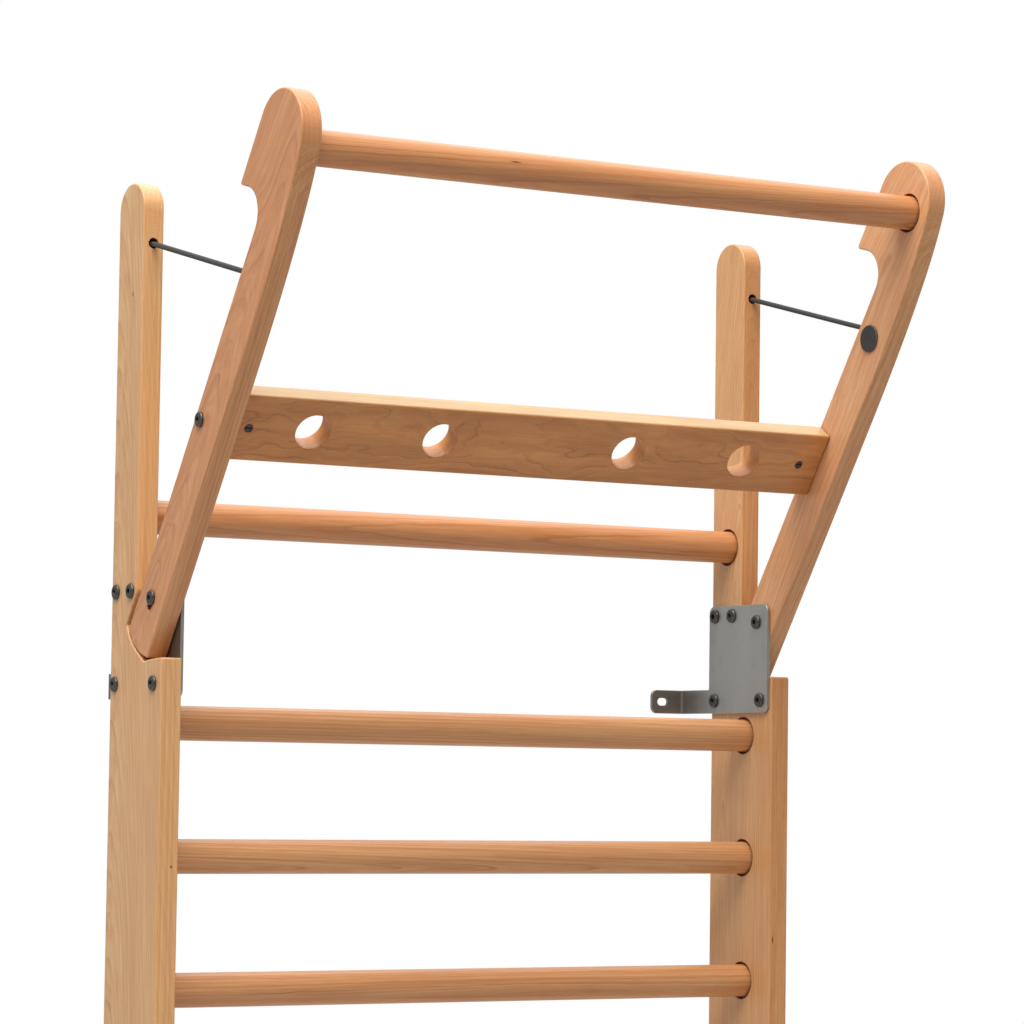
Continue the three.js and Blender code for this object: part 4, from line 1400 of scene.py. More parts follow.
@dataclass
class Arms:
    """The two swing arms: round end, slotted pivot, straight shank and hooked head."""

    end_radius: float = 66.6
    end_from: float = 4.0
    taper_from: float = 300.0
    head: Point2 = (-37.5, 551.0)
    head_radius: float = 49.0
    head_join: float = math.radians(14)
    taper_pull: float = 100.0
    head_pull: float = 62.0
    hook_along: float = 466.0
    hook_radius: float = 3.0
    throat_along: float = 443.5
    throat_radius: float = 30.5
    side_gap: float = 0.3
    corner: float = 2.7
    slot_radius: float = 5.3
    slot_step: float = math.radians(8)
    lift: float = 10.0
    board_hole: float = 6.4
    cap_recess: Point2 = (28.0, 18.5)
    cap_forward: float = -3.0
    cord_hole: float = 9.0

    @property
    def low(self) -> float:
        """The arm's inner face."""
        return F.inner_x + self.side_gap

    @property
    def high(self) -> float:
        """The arm's outer face."""
        return F.outer_x - self.side_gap

    def outline(self) -> np.ndarray:
        """The side outline as (forward, along)."""
        def end(forward: float) -> float:
            """How far along the round end lies."""
            return -math.sqrt(self.end_radius ** 2 - forward ** 2)

        way = Vector((math.cos(self.head_join), math.sin(self.head_join)))
        join = Vector(self.head) + way * self.head_radius
        pull = join + Vector((way.y, -way.x)) * self.head_pull
        hook = Vector((self.head[0] - self.head_radius, self.hook_along))
        throat = Vector((F.arm_rear - self.throat_radius, self.throat_along))
        to_hook = hook - throat
        touch = math.atan2(to_hook.y, to_hook.x) - math.acos(self.throat_radius / to_hook.length)
        touch_point = throat + Vector((math.cos(touch), math.sin(touch))) * self.throat_radius
        shape = Outline()
        shape.line((F.arm_rear, 0))
        low, high = F.arm_rear + self.end_from, F.arm_front - self.end_from
        ahead = low + self.end_from
        shape.fillet((F.arm_rear, end(F.arm_rear)), (ahead, end(ahead)), self.corner)
        shape.arc((0, 0), self.end_radius, math.atan2(end(low), low), math.atan2(end(high), high))
        shape.fillet((F.arm_front, end(F.arm_front)), (F.arm_front, 0), self.corner)
        shape.line((F.arm_front, self.taper_from))
        shape.bezier((F.arm_front, self.taper_from + self.taper_pull), tuple(pull), tuple(join))
        shape.arc(self.head, self.head_radius, self.head_join, math.pi)
        shape.fillet(tuple(hook), tuple(touch_point), self.hook_radius)
        shape.arc(tuple(throat), self.throat_radius, touch, 0)
        return shape.ring()

    def tools(self, side: Side) -> list[Piece]:
        """Everything that is cut out of one arm."""
        near, far = F.inner_x - CLEAR, F.outer_x + CLEAR
        slot = Outline(self.slot_step)
        slot.arc((0, 0), self.slot_radius, 0, math.pi)
        slot.arc((0, -self.lift), self.slot_radius, math.pi, 2 * math.pi)
        ring, through = slot.ring(), (near, self.low + CLEAR, self.high - CLEAR, far)
        socket = socket_profile(RoundBars.bar_diameter, self.low)
        board = [(self.board_hole / 2, x) for x in (near, far)]
        wide, deep = self.cap_recess
        recess = [(wide / 2, x) for x in (near, self.low + deep)]
        hole, face = self.cord_hole / 2, F.arm_rear
        mouth = hole + F.cord_ease + F.cord_proud
        cord = [(mouth, face - CLEAR), (mouth, face - F.cord_proud), (hole, face + F.cord_ease),
                (hole, self.cap_forward)]
        cord_at = (F.middle_x * side.value, F.cord_along)
        return [
            round_tool("bar_socket", socket, RoundBars.bar_place, F.arm_place, side),
            Solid().loft([[(x, *p) for p in ring] for x in through]).placed("slot", F.arm_place, side),
            round_tool("board_hole", board, F.board_middle, F.arm_place, side),
            round_tool("cap_recess", recess, (self.cap_forward, F.cord_along), F.arm_place, side),
            round_tool("cord_way", cord, cord_at, F.arm_place, Side.RIGHT, True),
        ]

    def bores(self, made: Piece) -> Bores:
        """Painted shade inside the bar's socket and the pivot's slot, as a darker tone."""
        forward, along = F.in_arm(made)
        bar = RoundBars.bar_place
        socket = np.hypot(forward - bar[0], along - bar[1])
        slot = np.hypot(forward, along + np.clip(-along, 0, self.lift))
        return [(socket, F.socket_mouth / 2 + F.bore_spread, F.bore_tone),
                (slot, self.slot_radius + F.bore_spread, F.bore_tone)]

    def build(self, finishes: Finishes) -> None:
        """Makes both arms and dresses them."""
        along, face = (0, -math.sin(F.lean), math.cos(F.lean)), (-1, 0, 0)
        logs = {
            Side.LEFT: Log(along, face, pith=-0.055, aside=0.003, start=0.8, tone=-0.1, rim=-0.35),
            Side.RIGHT: Log(along, face, pith=-0.060, aside=0.050, start=3.1, tone=1.1, tilt=-0.07, rim=-0.9),
        }
        for side in Side:
            solid = Solid().slab(self.outline(), self.low, self.high, F.edge)
            made = solid.placed(f"{side.word}_arm_timber", F.arm_place, side)
            carve(made, self.tools(side))
            soften(made)
            origin = F.arm_place(F.middle_x * side.value, 0, 0)
            log = logs[side]
            write_attribute(made, "grain", log.mark(made, origin))
            timber_tone(made, log, self.low, self.high, self.bores(made))
            edge_wear(made, self.low, self.high, F.edge)
            dress(made, finishes.arm, Body.SWING, Slot.ARM, f"{side.word}_arm")


@dataclass
class Board:
    """The adapter board between the arms, with its four grip holes and its barrel nuts."""

    edge: float = 1.5
    edge_step: float = math.radians(15)
    seam: float = 20.0
    hole_diameter: float = 42.0
    hole_ease: float = 1.6
    ease_steps: int = 4
    tool_flare: float = 5.0
    hole_offsets: tuple[float, ...] = (-286.5, -125.5, 125.5, 286.5)
    nut_offset: float = 366.0
    nut_diameter: float = 10.0
    nut_length: float = 15.0
    nut_sink: float = 0.6
    nut_back: float = 0.6
    nut_rim: tuple[Point2, ...] = ((0.0, 0.6), (0.25, 0.15), (0.7, 0.0))
    nut_wear: Point2 = (0.15, 0.2)
    bore_ease: float = 0.5
    bore_spare: float = 6.0
    bolt_hole: float = 6.4
    bolt_past_nut: float = 10.0
    slot: Point2 = (1.6, 1.5)
    # Painted highlight on the upper edge: its tone and how far down it fades.
    edge_tone: float = 2.2
    edge_fade: float = 1.2
    hole_tone: float = 0.7
    hole_skin: float = 0.8
    end_fade: float = 0.3

    @property
    def half(self) -> float:
        """Half the board's length."""
        return F.inner_x + Arms.side_gap - F.fit

    def blank(self) -> Piece:
        """The board before it is drilled: a plank with eased long edges and ends."""
        corners = Outline().line((F.arm_rear, F.board_low), (F.board_front, F.board_low),
                                 (F.board_front, F.board_high), (F.arm_rear, F.board_high)).points
        eased = Outline(self.edge_step).line((F.arm_rear, F.board_low + self.seam))
        for i, corner in enumerate(corners):
            eased.fillet(corner, corners[(i + 1) % len(corners)], 2 * self.edge)
        solid = Solid().slab(eased.ring(), -self.half, self.half, self.edge)
        return solid.placed("adapter_board_timber", F.arm_place, Side.RIGHT)

    def tools(self) -> list[Piece]:
        """The grip holes with eased rims, the bolts' and the nuts' bores."""
        made = []
        r, ease = self.hole_diameter / 2, self.hole_ease
        back, front = F.arm_rear, F.board_front
        arc = [math.pi / 2 * (i + 1) / self.ease_steps for i in range(self.ease_steps)]
        flare = math.tan(arc[0] / 2) * self.tool_flare
        profile = [(r + ease + self.tool_flare, back - flare)]
        profile += [(r + ease * (1 - math.sin(a)), back + ease * (1 - math.cos(a))) for a in arc]
        profile += [(r + ease * (1 - math.sin(a)), front - ease * (1 - math.cos(a))) for a in arc[::-1]]
        profile += [(r + ease + self.tool_flare, front + flare)]
        middle = F.board_middle
        for offset in self.hole_offsets:
            made.append(round_tool("grip_hole", profile, (offset, middle[1]), F.arm_place, Side.RIGHT, True))
        for side in Side:
            nut = self.nut_diameter / 2 + F.fit
            bore = [(nut, front - self.nut_length - self.bore_spare), (nut, front - self.bore_ease),
                    (nut + self.bore_ease + CLEAR, front + CLEAR)]
            made.append(round_tool("nut_bore", bore, (side.value * self.nut_offset, middle[1]),
                                   F.arm_place, Side.RIGHT, True))
            ends = (self.nut_offset - self.bolt_past_nut, self.half + CLEAR)
            bore = [(self.bolt_hole / 2, x) for x in sorted(side.value * end for end in ends)]
            made.append(round_tool("bolt_bore", bore, middle, F.arm_place, Side.RIGHT))
        return made

    def nut(self, side: Side) -> Piece:
        """A barrel nut: eased rim, driver slot in its front end, cross hole for the bolt."""
        r, front = self.nut_diameter / 2, F.board_front - self.nut_sink
        at = (side.value * self.nut_offset, F.board_middle[1])
        back = front - self.nut_length
        profile = [(r - self.nut_back, back), (r, back + self.nut_back)]
        profile += [(r - inwards, front - sunk) for inwards, sunk in self.nut_rim]
        solid = Solid().turned(profile, at, TOOL_FACETS, True)
        made = solid.placed(f"{side.word}_barrel_nut_turned", F.arm_place, Side.RIGHT)
        width, depth = self.slot
        low, high = at[1] - width / 2, at[1] + width / 2
        ring = [(front - depth, low), (front + CLEAR, low), (front + CLEAR, high), (front - depth, high)]
        through = (at[0] - r - CLEAR, at[0] + r + CLEAR)
        slot = Solid().loft([[(x, *p) for p in ring] for x in through])
        hole = [(self.bolt_hole / 2, x) for x in through]
        carve(made, [slot.placed("driver", F.arm_place, Side.RIGHT),
                     round_tool("cross_hole", hole, F.board_middle, F.arm_place, Side.RIGHT)])
        soften(made)
        sunk, width = self.nut_wear
        away = np.abs(F.in_arm(made)[0] - (front - sunk))
        write_attribute(made, "wear", np.clip(1 - away / width, 0, 1))
        return made

    def tones(self, made: Piece) -> np.ndarray:
        """A painted highlight along the upper edge, fresh wood in the grip holes, and painted shade at the ends
        where the board meets the arms.
        """
        x = vertices(made)[:, 0] / MM
        forward, along = F.in_arm(made)
        # Painted highlight along the upper edge, paled further through the quarter mark and the board's narrow
        # colour.
        upper = np.clip((along - F.board_high + self.edge_fade) / self.edge_fade, 0, 1)
        write_attribute(made, "quarter", upper)
        tone = upper * self.edge_tone
        deep = (forward < F.board_front - self.hole_skin) & (forward > F.arm_rear + self.hole_skin)
        for offset in self.hole_offsets:
            away = np.hypot(x - offset, along - F.board_middle[1])
            tone = np.where(deep & (away < self.hole_diameter / 2 + self.hole_ease), self.hole_tone, tone)
        # Painted shade at both ends, where the board meets the arms.
        ends = np.clip((np.abs(x) - self.half + self.edge) / (self.end_fade * self.edge), 0, 1)
        return tone + ends * (F.bore_tone - tone)

    def build(self, finishes: Finishes) -> None:
        """Makes the board and its nuts and dresses them."""
        made = self.blank()
        carve(made, self.tools())
        soften(made)
        face = (0, -math.cos(F.lean), -math.sin(F.lean))
        log = Log((1, 0, 0), face, pith=-0.100, aside=0.014, start=0.45, tilt=0.004)
        write_attribute(made, "grain", log.mark(made, F.arm_place(0, *F.board_middle)))
        write_attribute(made, "tone", self.tones(made))
        dress(made, finishes.board, Body.SWING, Slot.BOARD, "adapter_board")
        for side in Side:
            dress(self.nut(side), finishes.fitting, Body.SWING, Slot.FITTING, f"{side.word}_barrel_nut")


@dataclass
class Brackets:
    """The steel brackets, each bent from one sheet: a plate over the notch with its wall tab, and a lower strip."""

    front: float = 123.0
    above: float = 21.5
    below: float = 109.5
    corner: float = 9.0
    tab_width: float = 29.0
    tab_length: float = 45.0
    tab_corner: float = 8.0
    small_corner: float = 1.5
    step: float = math.radians(9)
    seam: float = 40.0
    bend: float = 3.0
    edge: float = 0.7
    edge_rounds: int = 3
    sharp: float = 30.0
    slot: Point2 = (15.5, 9.5)
    slot_step: float = math.radians(10)
    slot_from_end: float = 16.0
    lower_height: float = 303.0
    lower_reach: float = 62.0
    bolt_hole: float = 10.4
    pivot_hole: float = 10.6
    screw_hole: float = 5.4
    screw_depths: tuple[float, ...] = (14, 48)
    bends: int = 10
    # Painted shade: where it grows towards the wall tab, its strength on the tab, and how far in from the covered
    # face it starts.
    raw_between: Point2 = (-30.0, 20.0)
    raw_tab: float = 0.55
    raw_skin: float = 0.01

    @property
    def middle_bend(self) -> float:
        """Radius of the bend in the middle of the sheet."""
        return self.bend + F.plate / 2

    @property
    def straight(self) -> float:
        """How far behind the upright the sheet runs straight before its bend."""
        return F.wall_gap - self.bend - F.plate

    @property
    def flat_end(self) -> float:
        """The tab's end on the flat sheet, as a depth below 0."""
        run = self.tab_length - self.bend
        return -(self.straight + math.pi / 2 * self.middle_bend + run)

    def bent(self, thick: float, depth: float, height: float) -> Vector:
        """Where a point of the flat sheet comes to lie.

        Args:
            thick: Its place through the sheet, from the inner face's x.
            depth: Its depth on the flat sheet.
            height: Its height.

        Returns:
            The place in metres.
        """
        side = math.copysign(1, thick)
        offset = abs(thick) - F.plate_inner_x - F.plate / 2
        past = -depth - self.straight
        if past <= 0:
            return F.wall_place(thick, depth, height)
        r = self.middle_bend
        turn = min(past / r, math.pi / 2)
        run = past - turn * r
        x = F.plate_inner_x + F.plate / 2 - r + (r + offset) * math.cos(turn)
        back = self.straight + (r + offset) * math.sin(turn)
        if turn >= math.pi / 2:
            x -= run
        return F.wall_place(side * x, -back, height)

    def tab_slot(self, height: float) -> Piece:
        """The slot's tool on the flat sheet."""
        long, wide = self.slot
        middle = self.flat_end + self.slot_from_end
        half = (long - wide) / 2
        shape = Outline(self.slot_step)
        shape.arc((middle + half, height), wide / 2, -math.pi / 2, math.pi / 2)
        shape.arc((middle - half, height), wide / 2, math.pi / 2, 3 * math.pi / 2)
        ring, through = shape.ring(), (F.plate_inner_x - CLEAR, F.inner_x + CLEAR)
        return Solid().loft([[(x, *p) for p in ring] for x in through]).placed("tab_slot", self.flat, Side.RIGHT)

    @staticmethod
    def flat(x: float, depth: float, height: float) -> Vector:
        """A point of the flat sheet, kept flat, in metres."""
        return Vector((x, depth, height)) * MM

    def sheet(self, name: str, ring: np.ndarray, holes: Sequence[Triple], slot_height: float,
              side: Side) -> Piece:
        """Cuts a bracket from the flat sheet and bends it.

        Args:
            name: The object's name.
            ring: The flat outline as (depth, height).
            holes: (diameter, depth, height) of its round holes.
            slot_height: The height of the tab's slot.
            side: The side it belongs to.

        Returns:
            The bracket in its place.
        """
        low, high = F.plate_inner_x, F.plate_inner_x + F.plate
        solid = Solid().slab(ring, low, high, self.edge, self.edge_rounds)
        made = solid.placed(name, self.flat, Side.RIGHT)
        tools = [self.tab_slot(slot_height)]
        for diameter, depth, height in holes:
            profile = [(diameter / 2, x) for x in (low - CLEAR, high + CLEAR)]
            tools.append(round_tool("hole", profile, (depth, height), self.flat, Side.RIGHT))
        carve(made, tools)
        edge_wear(made, low, high, self.edge)
        mesh = bmesh.new()
        mesh.from_mesh(made.data)
        turn = math.pi / 2 * self.middle_bend
        cuts = [-self.straight - turn * i / self.bends for i in range(self.bends + 1)]
        for cut in (*self.raw_between, *cuts):
            geometry = mesh.verts[:] + mesh.edges[:] + mesh.faces[:]
            bmesh.ops.bisect_plane(mesh, geom=geometry, plane_co=(0, cut * MM, 0), plane_no=(0, 1, 0))
        # Painted shade: darker towards the wall tab, darkest on the face against the upright.
        raw = mesh.verts.layers.float.new("raw")
        for v in mesh.verts:
            x, depth, height = (c / MM for c in v.co)
            tab = np.interp(depth, self.raw_between, (self.raw_tab, 0.0))
            v[raw] = 1.0 if x > high - self.raw_skin else tab
            v.co = self.bent(x * side.value, depth, height)
        bmesh.ops.remove_doubles(mesh, verts=mesh.verts, dist=WELD)
        bmesh.ops.recalc_face_normals(mesh, faces=mesh.faces)
        mesh.to_mesh(made.data)
        mesh.free()
        soften(made, self.sharp)
        return made

    def build(self, finishes: Finishes) -> None:
        """Makes the four brackets and dresses them."""
        bottom, top = F.pivot_height - self.below, F.pivot_height + self.above
        tab_top = bottom + self.tab_width
        plate = Outline(self.step).line((0.0, tab_top + self.seam))
        plate.fillet((0.0, tab_top), (self.flat_end, tab_top), self.small_corner)
        plate.fillet((self.flat_end, tab_top), (self.flat_end, bottom), self.tab_corner)
        plate.fillet((self.flat_end, bottom), (0.0, bottom), self.tab_corner)
        plate.fillet((self.front, bottom), (self.front, top), self.corner)
        plate.fillet((self.front, top), (0.0, top), self.corner)
        plate.fillet((0.0, top), (0.0, bottom), self.corner)
        holes = [(self.bolt_hole, d, F.pivot_height + r) for d, r in Uprights.bolt_places]
        holes.append((self.pivot_hole, F.pivot_depth, F.pivot_height))
        strip = Outline(self.step).line((0.0, self.lower_height + self.tab_width / 2))
        low, high = self.lower_height - self.tab_width / 2, self.lower_height + self.tab_width / 2
        strip.fillet((self.flat_end, high), (self.flat_end, low), self.tab_corner)
        strip.fillet((self.flat_end, low), (0.0, low), self.tab_corner)
        strip.fillet((self.lower_reach, low), (self.lower_reach, high), self.small_corner)
        strip.fillet((self.lower_reach, high), (0.0, high), self.small_corner)
        screws = [(self.screw_hole, d, self.lower_height) for d in self.screw_depths]
        for side in Side:
            upper = self.sheet(f"{side.word}_upper_bracket_sheet", plate.ring(), holes,
                               bottom + self.tab_width / 2, side)
            dress(upper, finishes.steel, Body.WALL, Slot.BRACKET, f"{side.word}_upper_bracket")
            lower = self.sheet(f"{side.word}_lower_bracket_sheet", strip.ring(), screws,
                               self.lower_height, side)
            dress(lower, finishes.steel, Body.WALL, Slot.BRACKET, f"{side.word}_lower_bracket")


@dataclass
class Fittings:
    """Connector bolts, sleeve nuts and wood screws: one template of each, which a tree sets at its places."""

    head: float = 17.0
    height: float = 3.4
    shank: float = 6.0
    sleeve: float = 10.0
    key: float = 6.0
    key_depth: float = 2.6
    bolt_length: float = 21.2
    board_bolt_length: float = 61.2
    sleeve_length: float = 26.4
    screw_head: float = 10.4
    screw_height: float = 3.0
    screw_key: float = 3.2
    screw_shank: float = 5.0
    screw_length: float = 22.4
    facets: int = 48
    sharp: float = 40.0
    tip: Point2 = (0.6, 0.8)
    seat: float = 0.02
    seat_ease: float = 0.3
    dome: tuple[Point2, ...] = ((0.0, 0.40), (0.25, 0.62), (0.8, 0.78))
    crown: tuple[Point2, ...] = ((0.78, 0.92), (0.70, 1.0))
    key_mouth: tuple[Point2, ...] = ((1.10, 0.05), (1.0, 0.35))
    key_floor: Point2 = (0.25, 0.6)
    rim_from: Point2 = (0.74, 0.3)
    rim_to: float = 0.95
    lip_within: float = 0.68
    lip_height: float = 0.2
    lip_wear: float = 0.8
    pocket_within: float = 0.66

    def template(self, name: str, head: float, height: float, key: float, shank: float,
                 length: float) -> Piece:
        """A domed head with a hexagon socket on a shank; the head's face is at 0 and points to higher x.

        Args:
            name: The template's name.
            head: The head's diameter.
            height: Its height.
            key: The socket's width across flats.
            shank: The shank's diameter.
            length: The shank's length.

        Returns:
            The template, which isn't shown.
        """
        r, neck = head / 2, shank / 2
        profile = [(neck - self.tip[0], -length), (neck, -length + self.tip[1]), (neck, -self.seat),
                   (r - self.seat_ease, 0.0), (r, self.seat_ease)]
        profile += [(r - inwards, share * height) for inwards, share in self.dome]
        profile += [(part * r, share * height) for part, share in self.crown]
        turn = [2 * math.pi * i / self.facets for i in range(self.facets)]

        def hexagon(scale: float, place: float) -> list[Triple]:
            """A ring of the key's socket."""
            flat = [(a + math.pi / 6) % (math.pi / 3) - math.pi / 6 for a in turn]
            reach = [scale * key / 2 / math.cos(a) for a in flat]
            return [(place, d * math.cos(a), d * math.sin(a)) for d, a in zip(reach, turn)]

        rings = [[(x, d * math.cos(a), d * math.sin(a)) for a in turn] for d, x in profile]
        floor = height - self.key_depth
        rings += [hexagon(scale, height - sunk) for scale, sunk in self.key_mouth]
        rings += [hexagon(1.0, floor), hexagon(self.key_floor[0], floor - self.key_floor[1])]
        solid = Solid().loft(rings)
        made = solid.placed(name, lambda x, y, z: Vector((x, y, z)) * MM, Side.RIGHT)
        x = vertices(made)
        out = np.hypot(x[:, 1], x[:, 2]) / MM
        up = x[:, 0] / MM
        part, share = self.rim_from
        rim = (out > part * r) & (up > share * height) & (up < self.rim_to * height)
        lip = (np.abs(up - height) < self.lip_height) & (out < self.lip_within * r)
        write_attribute(made, "wear", np.maximum(1.0 * rim, self.lip_wear * lip))
        # Painted shade in the key socket.
        pocket = (out < self.pocket_within * key) & (up > 0) & (up < height - self.lip_height)
        write_attribute(made, "pocket", 1.0 * pocket)
        soften(made, self.sharp)
        bpy.context.scene.collection.objects.unlink(made)
        return made

    def tree(self, name: str, template: Piece, seed: int, material: bpy.types.Material) -> Tree:
        """Fittings at points, each turned to its facing and by chance about its axis.

        Args:
            name: The tree's name.
            template: The fitting's template.
            seed: Seed of the chance turn.
            material: Its finish.

        Returns:
            The tree.
        """
        tree = Tree(name)
        source = tree.add("GeometryNodeObjectInfo", Object=tree.take("Template", "Object", template))
        facing = tree.add("GeometryNodeInputNamedAttribute", {"data_type": "FLOAT_VECTOR"}, Name="facing")
        straight = tree.add("FunctionNodeAlignRotationToVector", {"axis": "X"}, Vector=facing.outputs[0])
        turn = tree.add("FunctionNodeRandomValue", {"data_type": "FLOAT"}, Min=0.0, Max=math.pi / 3,
                        Seed=tree.take("Seed", "Int", seed))
        spin = tree.add("ShaderNodeCombineXYZ", X=next(s for s in turn.outputs if s.enabled))
        local = tree.add("FunctionNodeEulerToRotation", Euler=spin.outputs[0])
        both = tree.add("FunctionNodeRotateRotation", {"rotation_space": "LOCAL"},
                        Rotation=straight.outputs[0], Rotate_By=local.outputs[0])
        spots = tree.add("GeometryNodeInstanceOnPoints", Points=tree.input.outputs[0],
                         Instance=source.outputs["Geometry"], Rotation=both.outputs[0])
        tree.end(spots.outputs[0], material)
        return tree

    def row(self, name: str, template: Piece, places: Sequence[tuple[Vector, Side, int]],
            finishes: Finishes, body: Body, nodes: Sequence[str], seed: int) -> None:
        """Sets a template at its places as one piece.

        Args:
            name: The piece's name.
            template: The fitting's template.
            places: (place, side, 1 for heads that point outwards or -1 inwards).
            finishes: The materials.
            body: The body it rides on.
            nodes: The nodes it stands for.
            seed: Seed of the chance turn.
        """
        made = loose_points(name, [p for p, _, _ in places])
        facing = np.array([(side.value * way, 0, 0) for _, side, way in places], float)
        write_attribute(made, "facing", facing)
        self.tree(name + "_tree", template, seed, finishes.fitting).grow(made)
        made.data.shade_smooth()
        made.data.set_sharp_from_angle(angle=math.radians(self.sharp))
        dress(made, finishes.fitting, body, Slot.FITTING, *nodes)

    def build(self, finishes: Finishes) -> None:
        """Makes all fittings and dresses them."""
        head = (self.head, self.height, self.key)
        bolt = self.template("bolt", *head, self.shank, self.bolt_length)
        long = self.template("board_bolt", *head, self.shank, self.board_bolt_length)
        nut = self.template("nut", *head, self.sleeve, self.sleeve_length)
        screw = self.template("screw", self.screw_head, self.screw_height, self.screw_key, self.screw_shank,
                              self.screw_length)
        out_x, in_x = F.outer_x + F.fit, F.plate_inner_x - F.fit
        words = ("rear_top", "front_top", "rear_low", "front_low")
        bolts, nuts, bolt_nodes, nut_nodes = [], [], [], []
        for side in Side:
            for word, (depth, rise) in zip(words, Uprights.bolt_places):
                height = F.pivot_height + rise
                bolts.append((F.wall_place(out_x * side.value, depth, height), side, 1))
                nuts.append((F.wall_place(in_x * side.value, depth, height), side, -1))
                bolt_nodes.append(f"{side.word}_bracket_bolt_{word}")
                nut_nodes.append(f"{side.word}_bracket_nut_{word}")
        self.row("bracket_bolts", bolt, bolts, finishes, Body.WALL, bolt_nodes, seed=5)
        self.row("bracket_nuts", nut, nuts, finishes, Body.WALL, nut_nodes, seed=6)
        screws = [(F.wall_place(in_x * s.value, d, Brackets.lower_height), s, -1)
                  for s in Side for d in Brackets.screw_depths]
        self.row("lower_screws", screw, screws, finishes, Body.WALL,
                 [f"{s.word}_lower_screw_{i}" for s in Side for i in (1, 2)], seed=7)
        places = [(F.arm_place(out_x * s.value, 0, 0), s, 1) for s in Side]
        self.row("pivot_bolt_heads", bolt, places, finishes, Body.PIVOT,
                 [f"{s.word}_pivot_bolt" for s in Side], seed=8)
        places = [(F.arm_place(in_x * s.value, 0, 0), s, -1) for s in Side]
        self.row("pivot_sleeve_nuts", nut, places, finishes, Body.PIVOT,
                 [f"{s.word}_pivot_nut" for s in Side], seed=9)
        places = [(F.arm_place(out_x * s.value, *F.board_middle), s, 1) for s in Side]
        self.row("board_bolts", long, places, finishes, Body.SWING,
                 [f"{s.word}_board_bolt" for s in Side], seed=10)
        for template in (bolt, long, nut, screw):
            bpy.data.objects.remove(template)


@dataclass
class Caps:
    """The flat caps over the cords' anchorage, on the inner faces of the arms."""

    diameter: float = 32.0
    flange: float = 2.4
    plug: Point2 = (27.6, 4.0)
    rim: float = 1.2
    rim_steps: int = 5
    dish: tuple[Point2, ...] = ((1.5, 0.25), (8.0, 0.18), (13.36, 0.03))
    facets: int = 96
    sharp: float = 40.0

    def build(self, finishes: Finishes) -> None:
        """Makes both caps, with a round rim and a slightly dished face, and dresses them."""
        face = Arms().low - F.fit
        r, top = self.diameter / 2, face - self.flange
        arc = [math.pi / 2 * i / self.rim_steps for i in range(self.rim_steps + 1)]
        profile = [(radius, top + depth) for radius, depth in self.dish]
        profile += [(r - self.rim * (1 - math.sin(a)), top + self.rim * (1 - math.cos(a))) for a in arc]
        profile += [(r, face), (self.plug[0] / 2, face), (self.plug[0] / 2, face + self.plug[1])]
        for side in Side:
            solid = Solid().turned(profile, (Arms.cap_forward, F.cord_along), self.facets)
            made = solid.placed(f"{side.word}_cord_cap_moulded", F.arm_place, side)
            p = vertices(made) - np.array(F.arm_place(0, Arms.cap_forward, F.cord_along))
            out = np.hypot(p[:, 1], p[:, 2]) / MM
            write_attribute(made, "wear", np.clip((out - r + self.rim) / self.rim, 0, 1))
            soften(made, self.sharp)
            dress(made, finishes.plastic, Body.SWING, Slot.PLASTIC, f"{side.word}_cord_cap")


